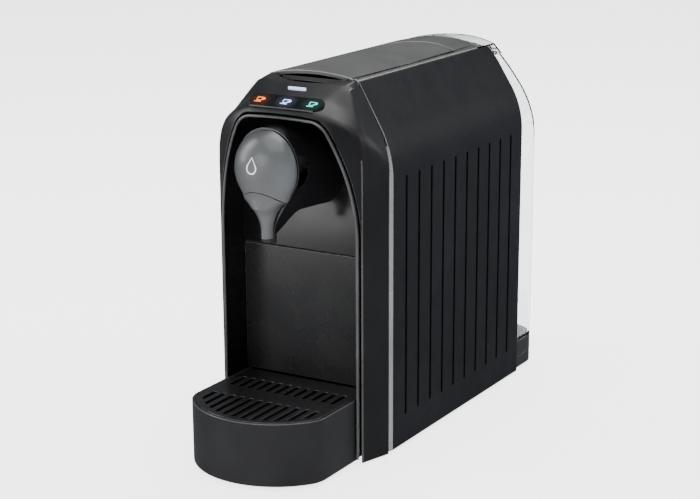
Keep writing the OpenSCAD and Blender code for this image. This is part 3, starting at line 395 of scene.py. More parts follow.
def row_of_copies():
    """A straight row of copies of the mesh it is given."""
    tree, source, result = node_group("row_of_copies", Count=1, Start=(0.0, 0.0, 0.0), Step=(0.0, 0.0, 0.0),
                                      Material=table_white)
    line = tree.nodes.new("GeometryNodeMeshLine")
    line.mode = "OFFSET"
    copies = tree.nodes.new("GeometryNodeInstanceOnPoints")
    real = tree.nodes.new("GeometryNodeRealizeInstances")
    paint = tree.nodes.new("GeometryNodeSetMaterial")
    link = tree.links.new
    link(source.outputs["Count"], line.inputs["Count"])
    link(source.outputs["Start"], line.inputs["Start Location"])
    link(source.outputs["Step"], line.inputs["Offset"])
    link(line.outputs["Mesh"], copies.inputs["Points"])
    link(source.outputs["Mesh"], copies.inputs["Instance"])
    link(copies.outputs["Instances"], real.inputs["Geometry"])
    link(real.outputs["Geometry"], paint.inputs["Geometry"])
    link(source.outputs["Material"], paint.inputs["Material"])
    link(paint.outputs["Geometry"], result.inputs["Mesh"])
    return tree


def stadium(length, width, grow=0.0):
    reach = (length - width) / 2
    radius = width / 2 + grow
    return arc((reach, 0), radius, -90, 90, 10) + arc((-reach, 0), radius, 90, 270, 10)


rows = row_of_copies()


def loft(rings):
    """A closed solid through rings of points, with a flat end on each."""
    shape = bmesh.new()
    loops = [[shape.verts.new(spot) for spot in ring] for ring in rings]
    for low, high in zip(loops, loops[1:]):
        for i in range(len(low)):
            k = (i + 1) % len(low)
            shape.faces.new((low[i], low[k], high[k], high[i]))
    shape.faces.new(loops[0])
    shape.faces.new(loops[-1])
    return link_shape(shape)


def tapered_body(chamfer_y, chamfer_x):
    """The body's outline as a block whose front edge is chamfered along the slanted seam."""
    outline = section(0)
    shaped = []
    for y, inset in ((-3, chamfer_x * (1 + 3 / chamfer_y)), (chamfer_y, 0), (panel_len + 9, -3)):
        ring = []
        for i, spot in enumerate(outline):
            before = Vector(outline[max(i - 1, 0)])
            after = Vector(outline[min(i + 1, len(outline) - 1)])
            along = (after - before).normalized()
            x, z = Vector(spot) - inset * Vector((along.y, -along.x))
            rise = min(max(spot[1] - shoulder_c[1], 0) / (body_h - shoulder_c[1]), 1)
            slim = 1 - 0.55 * min(rise * 3, 1)
            ring.append((x, y * (slim if y < 9 else 1) + rise * (lever_front + seam),
                z if spot[1] > 0 else -1))
        shaped.append(ring)
    return loft(shaped)


def side_panel(side):
    panel_corner = 17
    top_x = cover_hw + seam
    outline = flank(0, top_x) + list(reversed(flank(wall, top_x)))
    profile = [(0, 0), (panel_len, 0)] + arc(
        (panel_len - panel_corner, body_h - panel_corner), panel_corner, 0, 90, 4) + [
        (lever_front + seam, body_h), (0, shoulder_c[1])]
    panel = keep(prism(outline, "y", -1, panel_len + 1), prism(profile, "x", 0, half_w + 1))
    groove = prism([(z, y) for y, z in stadium(161, 2.0)], "x", -0.9, 1.0)
    run_nodes(groove, rows, Count=10, Start=(half_w, 21.5, 100.5), Step=(0, 16.9, 0), Material=side_black)
    keep(cut(panel, groove), tapered_body(4.2, 1.5))
    if side < 0:
        panel.data.transform(Matrix.Scale(-1, 4, (1, 0, 0)))
        panel.data.flip_normals()
    return panel


# Faces inside the grooves, which take the darker painted-shade material.
def in_groove(face):
    x, y, z = face.center
    return half_w - 1.1 < abs(x) < half_w - 0.01 and 19 < z < 182 and 19 < y < panel_len - 4


# Faces of the front chamfer, which take the lighter painted-highlight material.
def on_chamfer(face):
    return face.center.y < 9 and -0.6 < face.normal.y < -0.12 and face.center.z < body_h - 12


for side, word in ((1, "right"), (-1, "left")):
    moulding = side_panel(side)
    # Groove faces take the darker painted shade and chamfer faces the lighter painted highlight; the rounded
    # edges take the last, lighter material as a painted highlight.
    finish_piece(moulding, word + "_side_moulding", "machine", ["side_panel_" + word],
                 [side_black, groove_shade, chamfer_highlight, side_edge_highlight], edge=0.3,
                 paint=((1, in_groove), (2, on_chamfer)))


# ---- Front frame ----
# One satin moulding: the brow over the keys, the nose that turns down to the bay, and two narrow arms.
# It clips to the side panels and is open where the bay, the finger slot and the keys are.

frame_out = 38
front_r = 104
side_taper = 0.29
nose_r = 18
brow_r = 70
brow_c = (1.6 + brow_r * math.sin(math.radians(8)), body_h - 4.5 - brow_r * math.cos(math.radians(8)))
nose_y = nose_r - frame_out
nose_c = (nose_y, brow_c[1] + math.sqrt((brow_r - nose_r) ** 2 - (brow_c[0] - nose_y) ** 2))
brow_blend = heading(nose_c, brow_c)
arch_hw = half_w - 8.8
arch_top = body_h - 22.7
arch_z = arch_top - 77.3
lever_hw = 29.5
lever_gap = 0.8
lever_back = 152.5
lever_back_r = 47
finger_r = 39
band_l = 53
band_h = 11
band_at = 122
light_at = 110


def brow_profile(inset):
    return [(front_r, 0), (inset - frame_out, 0)] + arc(nose_c, nose_r - inset, 180, brow_blend) + arc(
        brow_c, brow_r - inset, brow_blend, 90) + [(front_r, brow_c[1] + brow_r - inset)]


def frame_plan(inset):
    """Plan of the frame: a bowed front between sides that taper forward, open at the back."""
    reach = half_w - inset
    centre = front_r - frame_out
    a = 1 + side_taper ** 2
    b = 2 * side_taper * reach - 2 * centre
    c = reach ** 2 + centre ** 2 - (front_r - inset) ** 2
    y = (-b - math.sqrt(b * b - 4 * a * c)) / (2 * a)
    corner = (reach + side_taper * y, y)
    turn = heading(corner, (0, centre))
    right = [(reach, front_r), (reach, 0)] + arc((0, centre), front_r - inset, turn, -90)
    return right + [(-x, y) for x, y in reversed(right[:-1])]


def meet(a, ra, b, rb):
    """Crossing of two circles, on the left of the line from a to b."""
    line = Vector(b) - Vector(a)
    share = (line.length_squared + ra * ra - rb * rb) / (2 * line.length)
    rise = math.sqrt(ra * ra - share * share)
    along = line.normalized()
    return Vector(a) + share * along + rise * Vector((-along.y, along.x))


def arch(inset, foot=-1.0):
    side_r, top_r, corner_r = 145, 300, 16
    side_c = (arch_hw - side_r, arch_z)
    top_c = (0, arch_top - top_r)
    corner_c = meet(side_c, side_r - corner_r, top_c, top_r - corner_r)
    a = heading(corner_c, side_c)
    b = heading(corner_c, top_c)
    return both_sides([(arch_hw - inset, foot)] + arc(side_c, side_r - inset, 0, a) + arc(
        corner_c, corner_r - inset, a, b, 4)[1:] + arc(top_c, top_r - inset, b, 90)[1:])


def recess_outline(grow):
    """Plan of the lever's recess, with the crescent in front that the fingers go into."""
    reach = lever_hw + lever_gap + grow
    finger_c = (0, finger_r - 5)
    rear_c = (0, lever_back - lever_back_r)
    rear_r = lever_back_r + lever_gap + 0.6 + grow
    front_turn = -math.degrees(math.acos(reach / (finger_r + grow)))
    rear_turn = math.degrees(math.acos(reach / rear_r))
    right = arc(finger_c, finger_r + grow, -90, front_turn) + arc(rear_c, rear_r, rear_turn, 90)
    return right + [(-x, y) for x, y in reversed(right[1:-1])]


def on_brow(angle, out=0.0):
    """Matrix that puts a drawing on the brow, with Z out of the surface and Y up the slope."""
    turn = math.radians(angle)
    spot = (0, brow_c[0] + brow_r * math.cos(turn), brow_c[1] + brow_r * math.sin(turn))
    return (Matrix.Translation(spot) @ Matrix.Rotation(turn - math.pi / 2, 4, "X")
            @ Matrix.Translation((0, 0, out)))


def half_planes(points, inside):
    """Rows of (normal, distance) for the straight edges of an open outline that bulges away from inside."""
    table = []
    for a, b in zip(points, points[1:]):
        along = Vector(b) - Vector(a)
        if along.length > 0.0001:
            out = Vector((along.y, -along.x)).normalized()
            if out.dot(Vector(inside) - Vector(a)) > 0:
                out.negate()
            table.append((out.x, out.y, out.dot(Vector(a))))
    return np.array(table)


def soft_max(a, b, soft):
    overlap = np.maximum(soft - np.abs(a - b), 0.0)
    return np.maximum(a, b) + overlap * overlap / np.maximum(4 * soft, 0.000001)


def frame_gap(inset):
    """How far a point lies outside the frame's surface, whose faces melt together away from the seam."""
    shoulder_blend = 26
    corner_blend = 5
    outlines = (half_planes(section(inset), (0, 100)), half_planes(brow_profile(inset)[2:], (20, 150)),
                half_planes(frame_plan(inset), (0, 20)))

    def far(planes, u, v):
        return (planes[:, 0] * u[..., None] + planes[:, 1] * v[..., None] - planes[:, 2]).max(axis=-1)

    def gap(x, y, z):
        share = np.clip((-1 - y) / 19, 0, 1)
        share = share * share * (3 - 2 * share)
        top = soft_max(far(outlines[0], x, z), far(outlines[1], y, z), shoulder_blend * share)
        return soft_max(top, far(outlines[2], x, y), corner_blend * share)

    return gap


def crossing(gap, start, step, reach):
    """Distance along each ray at which it leaves the surface."""
    low = np.zeros(start.shape[0])
    high = low + reach
    for i in range(32):
        middle = (low + high) / 2
        spot = start + step * middle[:, None]
        inside = gap(spot[:, 0], spot[:, 1], spot[:, 2]) < 0
        low = np.where(inside, middle, low)
        high = np.where(inside, high, middle)
    return low


def frame_form(inset, foot):
    """The frame as a full block, in slices from its front to behind the seam."""
    heart_z = 130
    slices = 64
    gap = frame_gap(inset)
    fan = [(0.0, z, 1.0, 0.0) for z in (foot, 30, 80)]
    fan += [(0.0, heart_z, math.cos(math.radians(a)), math.sin(math.radians(a))) for a in range(0, 181, 2)]
    fan += [(0.0, z, -1.0, 0.0) for z in (80, 30, foot)]
    start_y = -float(crossing(gap, np.array([[0.0, 0.0, heart_z]]), np.array([[0.0, -1.0, 0.0]]),
        80.0)[0]) + 0.02
    rings = []
    for i in range(slices + 1):
        y = start_y + (lever_front + 14 - start_y) * (i / slices) ** 2
        start = np.array([(x, y, z) for x, z, dx, dz in fan])
        step = np.array([(dx, 0.0, dz) for x, z, dx, dz in fan])
        reach = crossing(gap, start, step, 160.0)
        rings.append([tuple(spot) for spot in start + step * reach[:, None]])
    return loft(rings)


frame_black = plastic("frame_black", (0.007, 0.007, 0.008), 0.38, 0.3, 0.006, 0.38)
# A lighter copy of the frame's black for the rounded edges: a painted highlight.
frame_edge_highlight = plastic("frame_edge_highlight", (0.05, 0.05, 0.052), 0.25, 0.6, 0.005, 0.6)
reach_side = [(-frame_out - 2, -2), (-seam, -2), (-seam, shoulder_c[1]), (lever_front, body_h),
              (lever_front, body_h + 2), (-frame_out - 2, body_h + 2)]
brow = keep(frame_form(0, -1), prism(reach_side, "x", -half_w - 2, half_w + 2))
cut(brow, frame_form(wall, wall), prism(arch(-1.3), "y", -frame_out - 3, lever_front + 2),
    block(-arch_hw, arch_hw, -2, lever_front + 2, -2, arch_z),
    prism(recess_outline(0), "z", arch_z, body_h + 2),
    prism(stadium(band_l, band_h, 0.4), "z", -6, 6, on_brow(band_at)),
    prism(stadium(13, 1.6, 0.1), "z", -6, 6, on_brow(light_at)))
finish_piece(brow, "brow_moulding", "machine", ["front_frame"],
    [frame_black, frame_edge_highlight], edge=0.5)

# ---- Bright lines of the frame ----
# A rolled rim round the mouth of the bay and a thin lip under the keys, moulded in the same black and
# polished; here they are coloured lighter than the frame as a painted highlight.


def bead_tree():
    """Sweeps a round bead along the edges it is given."""
    tree, source, result = node_group("bead", Radius=1.0, Material=table_white)
    line = tree.nodes.new("GeometryNodeMeshToCurve")
    ring = tree.nodes.new("GeometryNodeCurvePrimitiveCircle")
    ring.inputs["Resolution"].default_value = 12
    sweep = tree.nodes.new("GeometryNodeCurveToMesh")
    sweep.inputs["Fill Caps"].default_value = True
    real = tree.nodes.new("GeometryNodeRealizeInstances")
    paint = tree.nodes.new("GeometryNodeSetMaterial")
    link = tree.links.new
    link(source.outputs["Mesh"], line.inputs["Mesh"])
    link(source.outputs["Radius"], ring.inputs["Radius"])
    link(line.outputs["Curve"], sweep.inputs["Curve"])
    link(ring.outputs["Curve"], sweep.inputs["Profile Curve"])
    link(sweep.outputs["Mesh"], real.inputs["Geometry"])
    link(real.outputs["Geometry"], paint.inputs["Geometry"])
    link(source.outputs["Material"], paint.inputs["Material"])
    link(paint.outputs["Geometry"], result.inputs["Mesh"])
    return tree


beads = bead_tree()


def bead(paths, radius, material):
    """Round beads along open or closed lists of points; a closed one repeats its first point."""
    mesh = bpy.data.meshes.new("bead")
    points, edges = [], []
    for path in paths:
        closed = (Vector(path[0]) - Vector(path[-1])).length < 0.0001
        start = len(points)
        count = len(path) - closed
        points += path[:count]
        edges += [(start + i, start + (i + 1) % count) for i in range(count if closed else count - 1)]
    mesh.from_pydata(points, edges, [])
    piece = bpy.data.objects.new("bead", mesh)
    bpy.context.scene.collection.objects.link(piece)
    return run_nodes(piece, beads, Radius=float(radius), Material=material)


def face_y(x, z):
    """Where the frame's front face is."""
    spot = np.array([[float(x), 0.0, float(z)]])
    return -float(crossing(frame_gap(0), spot, np.array([[0.0, -1.0, 0.0]]), 60.0)[0])


# Black plastic coloured lighter than the frame: a painted highlight on the rim and the lip.
bead_highlight = plastic("bead_painted_highlight", (0.06, 0.06, 0.062), 0.16, 0.6, 0.003, 0.7, 0.3)
rim_r = 0.85
rim_path = [(x, face_y(x, z) + 0.5, z) for x, z in arch(rim_r + 0.1, 1.5)]
rim = bead([rim_path], rim_r, bead_highlight)
finish_piece(rim, "bay_rim", "machine", None, [bead_highlight], edge=0)
lip_line = arc((0, -160), 160, 90 + 8.3, 90 - 8.3, 1)
lip_at = on_brow(127.6, 0.12)
lip = bead([[tuple(lip_at @ Vector((x, 0, 0))) for x, y in lip_line]], 0.5, bead_highlight)
finish_piece(lip, "key_lip", "machine", None, [bead_highlight], edge=0)

# ---- Keys ----
# Three glossy black keys sunk in the band; each shows a lit cup outline in its own colour.
# The glow is light from the symbol's window spreading in the clear top of the key.


def glowing_key(name, tint, centre, strength):
    material, tree, shader = new_material(name)
    coords = shader_node(tree, "ShaderNodeTexCoord").outputs["Object"]
    spread = shader_node(tree, "ShaderNodeMapping", vector_type="TEXTURE")
    spread.inputs["Location"].default_value = centre
    spread.inputs["Scale"].default_value = (8.5 * MM, 6.5 * MM, 6.5 * MM)
    ball = shader_node(tree, "ShaderNodeTexGradient", gradient_type="SPHERICAL")
    tree.links.new(coords, spread.inputs["Vector"])
    tree.links.new(spread.outputs["Vector"], ball.inputs["Vector"])
    fade = between(tree, ball.outputs["Fac"], 0, strength, 0, 1)
    shader.inputs["Emission Color"].default_value = (*tint, 1)
    tree.links.new(fade, shader.inputs["Emission Strength"])
    tone = colours_between(tree, noise_from(tree, coords, 300, 3), (0.004, 0.004, 0.005),
        (0.008, 0.008, 0.009))
    tree.links.new(tone, shader.inputs["Base Color"])
    tree.links.new(between(tree, noise_from(tree, coords, 180, 4), 0.06, 0.14), shader.inputs["Roughness"])
    return material


def lit(name, tint, strength):
    material, tree, shader = new_material(name)
    coords = shader_node(tree, "ShaderNodeTexCoord").outputs["Object"]
    shader.inputs["Base Color"].default_value = (*tint, 1)
    shader.inputs["Emission Color"].default_value = (*tint, 1)
    flicker = between(tree, noise_from(tree, coords, 900, 2), strength * 0.85, strength * 1.15)
    tree.links.new(flicker, shader.inputs["Emission Strength"])
    shader.inputs["Roughness"].default_value = 0.3
    return material


def cup_symbol(x):
    """A slanted cup with its handle, and a saucer under it."""
    lean_in = 0.16
    cup = [(-2.3, 1.7), (2.0, 1.7), (1.9, 0.5), (1.2, -0.9), (0.4, -1.25), (-1.1, -1.25), (-1.8, -0.9),
        (-2.2, 0.5),
           (-2.3, 1.7)]
    handle = [(1.95, 1.25), (2.9, 1.3), (3.3, 0.7), (2.7, -0.1), (1.6, -0.35)]
    saucer = [(-2.9, -2.1), (1.9, -2.1)]
    spot = on_brow(band_at, -0.72)
    return [[tuple(spot @ Vector((x + u + lean_in * v, v, 0))) for u, v in line] for line in (cup, handle,
        saucer)]


for word, x, tint in (("left", -19.2, (1.0, 0.22, 0.03)), ("middle", 0, (0.5, 0.62, 1.0)),
                      ("right", 19.2, (0.08, 0.6, 0.48))):
    spot = (Matrix.Translation((0, front, ground)) @ Matrix.Scale(MM, 4) @ on_brow(band_at, -0.8)
            @ Vector((x, 0, 0)))
    glow = glowing_key("key_" + word + "_glow", tint, spot, 0.12)
    for holder in frame["nodes"]["key_" + word].material_slots:
        holder.material = glow
    symbol = lit(word + "_symbol_light", tint, 1.6)
    finish_piece(bead(cup_symbol(x), 0.3, symbol), word + "_cup_symbol", word + "_key", None,
        [symbol], edge=0)

status_glow = lit("status_glow", (0.62, 0.68, 0.95), 0.9)
for holder in frame["nodes"]["status_light"].material_slots:
    holder.material = status_glow

# ---- Bay ----
# A glossy black liner, the panel at its back, and the fixed spout body that comes out of the panel.
# The liner is one thin moulding that follows the arch; the spout body swells from a narrow chin.

liner_t = 1.5
liner_gap = 0.2
bay_back = -2
panel_t = 2.5
brew_z = body_h - 55
egg_z = brew_z + 2
egg_r = 24.2
egg_flat = 0.9
egg_out = 43.6
rim_y = -egg_out - 4.4

gloss_black = plastic("gloss_black", (0.004, 0.004, 0.0045), 0.2, 1.5, 0.002, 0.5, 0.1)
# A lighter copy of the glossy black for the rounded edges: a painted highlight.
gloss_edge_highlight = plastic("gloss_edge_highlight", (0.03, 0.03, 0.03), 0.12, 1.5, 0.002, 0.6)
liner = prism(arch(liner_gap), "y", -frame_out, bay_back + panel_t)
keep(liner, frame_form(0.9, -2))
cut(liner, prism(arch(liner_gap + liner_t, -3), "y", -frame_out - 2, lever_front),
    block(-half_w, half_w, -frame_out - 2, lever_front, -3, 2.9))
finish_piece(liner, "bay_lining", "machine", ["bay_liner"], [gloss_black, gloss_edge_highlight],
    edge=0.3)

drawer_top = 129.3
back = keep(prism(arch(liner_gap + liner_t + 0.2), "y", bay_back, bay_back + panel_t),
            block(-half_w, half_w, -9, 9, drawer_top + 0.5, body_h))
hole = prism(arc((0, brew_z), 9, 0, 354, 6), "y", -9, 9)
finish_piece(cut(back, hole), "bay_back", "machine", ["bay_panel"],
    [gloss_black, gloss_edge_highlight], edge=0.5)


def spout_ring(y, wide, radius, chin_z, chin_w, fullness):
    """Outline of the spout body at y: round above, drawn in to a chin below."""
    steps = 24
    right = []
    for i in range(steps + 1):
        turn = math.pi / 2 * i / steps
        right.append((wide * math.sin(turn), y, egg_z + radius * math.cos(turn)))
    for i in range(1, steps + 1):
        drop = i / steps
        reach = chin_w + (wide - chin_w) * math.cos(drop * math.pi / 2) ** fullness
        right.append((reach, y, egg_z - (egg_z - chin_z) * drop))
    return right + [(-x, y, z) for x, y, z in reversed(right) if x > 0.001]


body_r = egg_r + 1.1
depths = 24
rings = []
for i in range(depths + 1):
    share = i / depths
    chin = min(1.0, share / 0.42)
    chin = chin * chin * (3 - 2 * chin)
    back = share * share
    rings.append(spout_ring(rim_y + 0.3 + share * (bay_back - 0.2 - rim_y - 0.3),
        body_r * egg_flat + 8 * back,
                            body_r + 3 * back, 149.5 + 13.5 * chin, 4.0 + 6 * chin + 6 * back,
                            1.9 - 1.2 * chin))
spout = loft(rings)
cut(spout, prism(arc((0, egg_z), egg_r - 1, 0, 354, 6), "y", rim_y + 2.3, bay_back + 1),
    prism(arc((0, rim_y + 3.8), 3.4, 0, 345, 15), "z", 0, brew_z))
finish_piece(spout, "spout_housing", "machine", ["spout_body"], [gloss_black, gloss_edge_highlight],
    edge=0.3,
             sharp=40)

# ---- Spout covers ----
# Two satin grey caps: the egg, and the neck that grows out of it below a curved seam.
# Both snap on the spout housing; a small raised drop marks the egg.

neck_r = 3.7
flare_r = 24
flare_z = egg_z - 40
neck_end = flare_z - 4
seam_r = 19.6
seam_z = egg_z - 32.6
cover_t = 1.6


def smooth_larger(a, b, soft):
    share = max(0.0, min(1.0, 0.5 + (a - b) / (2 * soft)))
    return b + (a - b) * share + soft * share * (1 - share)


def flare(z):
    rise = min(max(z - flare_z, 0.0), flare_r)
    return neck_r + flare_r - math.sqrt(flare_r ** 2 - rise ** 2)


def egg_level(z, inset):
    """Half-width and depth of the covers at height z."""
    ball = math.sqrt(max(0.0, (egg_r - inset) ** 2 - (z - egg_z) ** 2))
    wide, deep = ball * egg_flat, (ball - 4.4) * 0.8
    if z > egg_z - 8:
        return max(wide, 0.02), max(deep, 0.02)
    neck = max(flare(z) - inset, 0.5)
    return smooth_larger(wide, min(neck, 16), 2.2), smooth_larger(deep, min(2 + neck, 12), 3)


def cover_solid(inset, foot, back_y):
    levels, sides = 72, 40
    top = egg_z + math.sqrt((egg_r - inset) ** 2 - (4.4 + 0.05) ** 2)
    rings = []
    for i in range(levels + 1):
        z = foot + (top - foot) * math.sin(math.pi / 2 * i / levels)
        wide, deep = egg_level(z, inset)
        front_edge = [(wide * math.cos(math.pi * k / sides), rim_y - deep * math.sin(math.pi * k / sides), z)
                      for k in range(sides + 1)]
        rings.append(front_edge + [(-wide, back_y, z), (wide, back_y, z)])
    return loft(rings)


egg_satin = plastic("egg_satin", (0.085, 0.09, 0.093), 0.36, 0.25, 0.006, 0.6, 0.06)
egg_tree = egg_satin.node_tree
# The egg's colour is blended to near-black where its surface turns away from the view: painted shade along
# its edges.
turned_away = shader_node(egg_tree, "ShaderNodeLayerWeight")
turned_away.inputs["Blend"].default_value = 0.42
egg_shader = egg_tree.nodes["Principled BSDF"]
painted_edge_shade = shader_node(egg_tree, "ShaderNodeMix", data_type="RGBA")
egg_tree.links.new(turned_away.outputs["Facing"], painted_edge_shade.inputs["Factor"])
egg_tree.links.new(egg_shader.inputs["Base Color"].links[0].from_socket, painted_edge_shade.inputs["A"])
painted_edge_shade.inputs["B"].default_value = (0.008, 0.008, 0.009, 1)
egg_tree.links.new(painted_edge_shade.outputs["Result"], egg_shader.inputs["Base Color"])
# A lighter copy of the egg's grey for the rounded edges: a painted highlight.
egg_edge_highlight = plastic("egg_edge_highlight", (0.1, 0.1, 0.1), 0.3, 0.25, 0.004, 0.5)


def seam_disc(radius):
    return prism(arc((0, seam_z), radius, 0, 358, 2), "y", -90, 0)


shell = cut(cover_solid(0, neck_end, rim_y + 0.01), cover_solid(cover_t, neck_end - 2, rim_y + 3))
lower = shell.copy()
lower.data = shell.data.copy()
bpy.context.scene.collection.objects.link(lower)
cut(shell, seam_disc(seam_r + 0.25))
keep(lower, seam_disc(seam_r - 0.25))
finish_piece(shell, "egg_cover", "machine", ["spout_cover"], [egg_satin, egg_edge_highlight],
    edge=0.18, sharp=45)
finish_piece(lower, "neck_cover", "machine", ["spout_neck_cover"], [egg_satin, egg_edge_highlight],
    edge=0.18,
             sharp=45)


def on_egg(x, z):
    wide, deep = egg_level(z, 0)
    return (x, rim_y - deep * math.sqrt(max(0.0, 1 - (x / wide) ** 2)) - 0.1, z)


drop_z = 195.5
drop = [on_egg(-1.2, drop_z + 5.6)] + [
    on_egg(3.3 * math.cos(a) - 1.2, drop_z - 1 + 3.3 * math.sin(a))
    for a in [math.radians(28 - i * 236 / 24) for i in range(25)]] + [on_egg(-1.2, drop_z + 5.6)]
mark_bright = plastic("mark_bright", (0.8, 0.8, 0.8), 0.2, 0.6, 0.003, 0.8, 0.05)
finish_piece(bead([drop], 0.42, mark_bright), "drop_mark", "machine", None, [mark_bright],
    edge=0)

# ---- Top cover ----
# Satin grey trim round the lever: a slim strip at each side, a plain bridge behind, and the recess walls
# and floor.

lid_arc_r = 50
lid_arc_c = panel_len - 7 - lid_arc_r
axle_y = lever_back - 15.5
axle_z = body_h - 7
recess_floor = body_h - 13.6
recess_wall = 2.2

top_grey = plastic("top_grey", (0.075, 0.075, 0.074), 0.36, 0.3, 0.01, 0.5, 0.1)
# A lighter copy of the trim's grey for the rounded edges: a painted highlight.
top_edge_highlight = plastic("top_edge_highlight", (0.3, 0.3, 0.3), 0.25, 0.5, 0.004, 0.7)


def crown_slab(inset, depth, y0, y1):
    return cut(prism(section(inset), "y", y0, y1), prism(section(inset + depth), "y", y0 - 1, y1 + 1))


def lid_disc(radius, front_y):
    """Everything in front of the tank lid's arc."""
    turn = math.degrees(math.acos(cover_hw / radius)) if radius > cover_hw else 0
    return prism([(cover_hw, front_y)] + arc((0, lid_arc_c), radius, turn,
        180 - turn) + [(-cover_hw, front_y)], "z",
                 180, body_h + 2)


cover = keep(crown_slab(0, wall, lever_front + 1, lid_arc_c + lid_arc_r),
    lid_disc(lid_arc_r - seam, lever_front + 1))
cut(cover, prism(recess_outline(0), "z", 180, body_h + 2))
walls = cut(prism(recess_outline(recess_wall), "z", recess_floor, body_h + 1),
            prism(recess_outline(0), "z", recess_floor + 2.2, body_h + 2),
            block(-half_w, half_w, axle_y - 25, lever_back + 9, recess_floor - 1, axle_z - 0.5),
            block(-20, 20, 40, 78, 200, body_h + 1))
keep(walls, prism(section(0.25), "y", -frame_out, panel_len),
    prism(brow_profile(wall + 0.3), "x", -half_w, half_w))
behind_brow = cut(prism(recess_outline(recess_wall), "z", recess_floor, body_h + 1),
                  prism(recess_outline(0), "z", recess_floor + 2.2, body_h + 2),
                  block(-half_w, half_w, -60, lever_front + 1, 0, body_h + 2),
                  block(-half_w, half_w, axle_y - 25, lever_back + 9, recess_floor - 1, axle_z - 0.5),
                  block(-20, 20, 40, 78, 200, body_h + 1))
keep(behind_brow, prism(section(0.25), "y", lever_front, panel_len))
add(cover, behind_brow, walls)
shelf = keep(crown_slab(wall + 1, 2, lid_arc_c, panel_len - 2), block(-cover_hw, cover_hw, lid_arc_c + 30,
                                                                     panel_len - 2, body_h - 12, body_h))
add(cover, shelf)
finish_piece(cover, "top_trim", "machine", ["top_cover"], [top_grey, top_edge_highlight], edge=0.3)

# ---- Lever ----
# The long plate that lifts to open the brew group. It is hinged at its round rear end and has two lugs below.

lever_t = 2.6
lever_grey = plastic("lever_grey", (0.085, 0.085, 0.084), 0.34, 0.3, 0.01, 0.5, 0.1)
# A lighter copy of the lever's grey for the rounded edges: a painted highlight.
lever_edge_highlight = plastic("lever_edge_highlight", (0.32, 0.32, 0.32), 0.22, 0.5, 0.004, 0.7)
rear_c = (0, lever_back - lever_back_r)
plan = both_sides([(lever_hw, lever_front)] + arc(rear_c, lever_back_r,
                                                   math.degrees(math.acos(lever_hw / lever_back_r)), 90))
plate = keep(crown_slab(0, lever_t, lever_front - 1, lever_back + 1), prism(plan, "z", 200, body_h + 1))
grip = keep(block(-lever_hw + 7, lever_hw - 7, lever_front, lever_front + 4, body_h - 7, body_h),
            prism(section(lever_t - 0.3), "y", 0, 20))
pin = (axle_y + 16 * math.sin(math.radians(37.5)), axle_z - 16 * math.cos(math.radians(37.5)))
lug = [(axle_y - 5, axle_z), (pin[0] - 4, pin[1])] + arc(pin, 4, 180, 360, 15) + [
    (axle_y + 5, axle_z), (axle_y + 5, body_h), (axle_y - 5, body_h)]
lugs = [keep(prism(lug, "x", x, x + 2.5), prism(section(lever_t - 0.3), "y", 100, 180))
        for x in (lever_hw - 6, 3.5 - lever_hw)]
add(plate, grip, *lugs)
finish_piece(plate, "lever_cover", "lever", ["lever_plate"], [lever_grey, lever_edge_highlight],
    edge=0.35)

# ---- Tank and lid ----
# A clear moulded tank with a rounded back, and its clear lift-off lid. Both have 2 mm walls.

tank_hw = half_w - 2.7
tank_y = panel_len + 2.5
tank_back = panel_len + 51
tank_r = 93
tank_corner = 14
rear_h = 20.5
tank_top = body_h - 12
dome_h = 95
dome_r = (37 * 37 + dome_h * dome_h) / (2 * 37)
valve_y = panel_len + 24


def d_plan(reach, y0, y1, radius, corner, inset, flip=1):
    """Plan with a straight edge at y0, straight sides and a curved far edge at y1."""
    centre = (0, y1 - radius)
    k = (reach - corner, centre[1] + math.sqrt((radius - corner) ** 2 - (reach - corner) ** 2))
    turn = heading(k, centre)
    outline = both_sides([(reach - inset, y0)] + arc(k, corner - inset, 0, turn, 5) + arc(
        centre, radius - inset, turn, 90)[1:])
    return [(x, flip * y) for x, y in outline]


def dome(inset):
    """The solid of revolution that rounds off the tank's back."""
    profile = [(tank_r - inset, 0)] + arc((tank_r - dome_r, body_h - dome_h), dome_r - inset, 0,
                                          math.degrees(math.asin(dome_h / dome_r)), 3)
    steps = 180
    return loft([[(r * math.cos(2 * math.pi * k / steps),
        tank_back - tank_r + r * math.sin(2 * math.pi * k / steps), z)
                  for k in range(steps)] for r, z in profile])


def tank_form(inset, low, high):
    form = prism(d_plan(tank_hw, tank_y + inset, tank_back, tank_r, tank_corner, inset), "z", low, high)
    return keep(form, prism(section(half_w - tank_hw + inset), "y", panel_len, tank_back + 2), dome(inset))


def clear_plastic(name, tint, roughness):
    """Clear moulded plastic with faint flow lines and a little haze."""
    material, tree, shader = new_material(name)
    coords = shader_node(tree, "ShaderNodeTexCoord").outputs["Object"]
    shader.inputs["Transmission Weight"].default_value = 1.0
    shader.inputs["IOR"].default_value = 1.46
    tone = colours_between(tree, noise_from(tree, coords, 12, 3), tuple(c * 0.97 for c in tint), tint)
    tree.links.new(tone, shader.inputs["Base Color"])
    tree.links.new(between(tree, noise_from(tree, coords, 90, 4), roughness * 0.6, roughness * 1.6),
                   shader.inputs["Roughness"])
    bump = shader_node(tree, "ShaderNodeBump")
    bump.inputs["Distance"].default_value = 0.05 * MM
    bump.inputs["Strength"].default_value = 0.6
    tree.links.new(noise_from(tree, coords, 35, 2), bump.inputs["Height"])
    tree.links.new(bump.outputs["Normal"], shader.inputs["Normal"])
    return material


tank_clear = clear_plastic("tank_clear", (0.93, 0.95, 0.96), 0.04)
tank_shell = cut(tank_form(0, rear_h + seam, tank_top), tank_form(2, rear_h + seam + 2, tank_top + 5),
                 prism(arc((0, valve_y), 6, 0, 350, 10), "z", 0, rear_h + 8))
finish_piece(tank_shell, "tank_body", "tank", ["tank"], [tank_clear], edge=0.5)


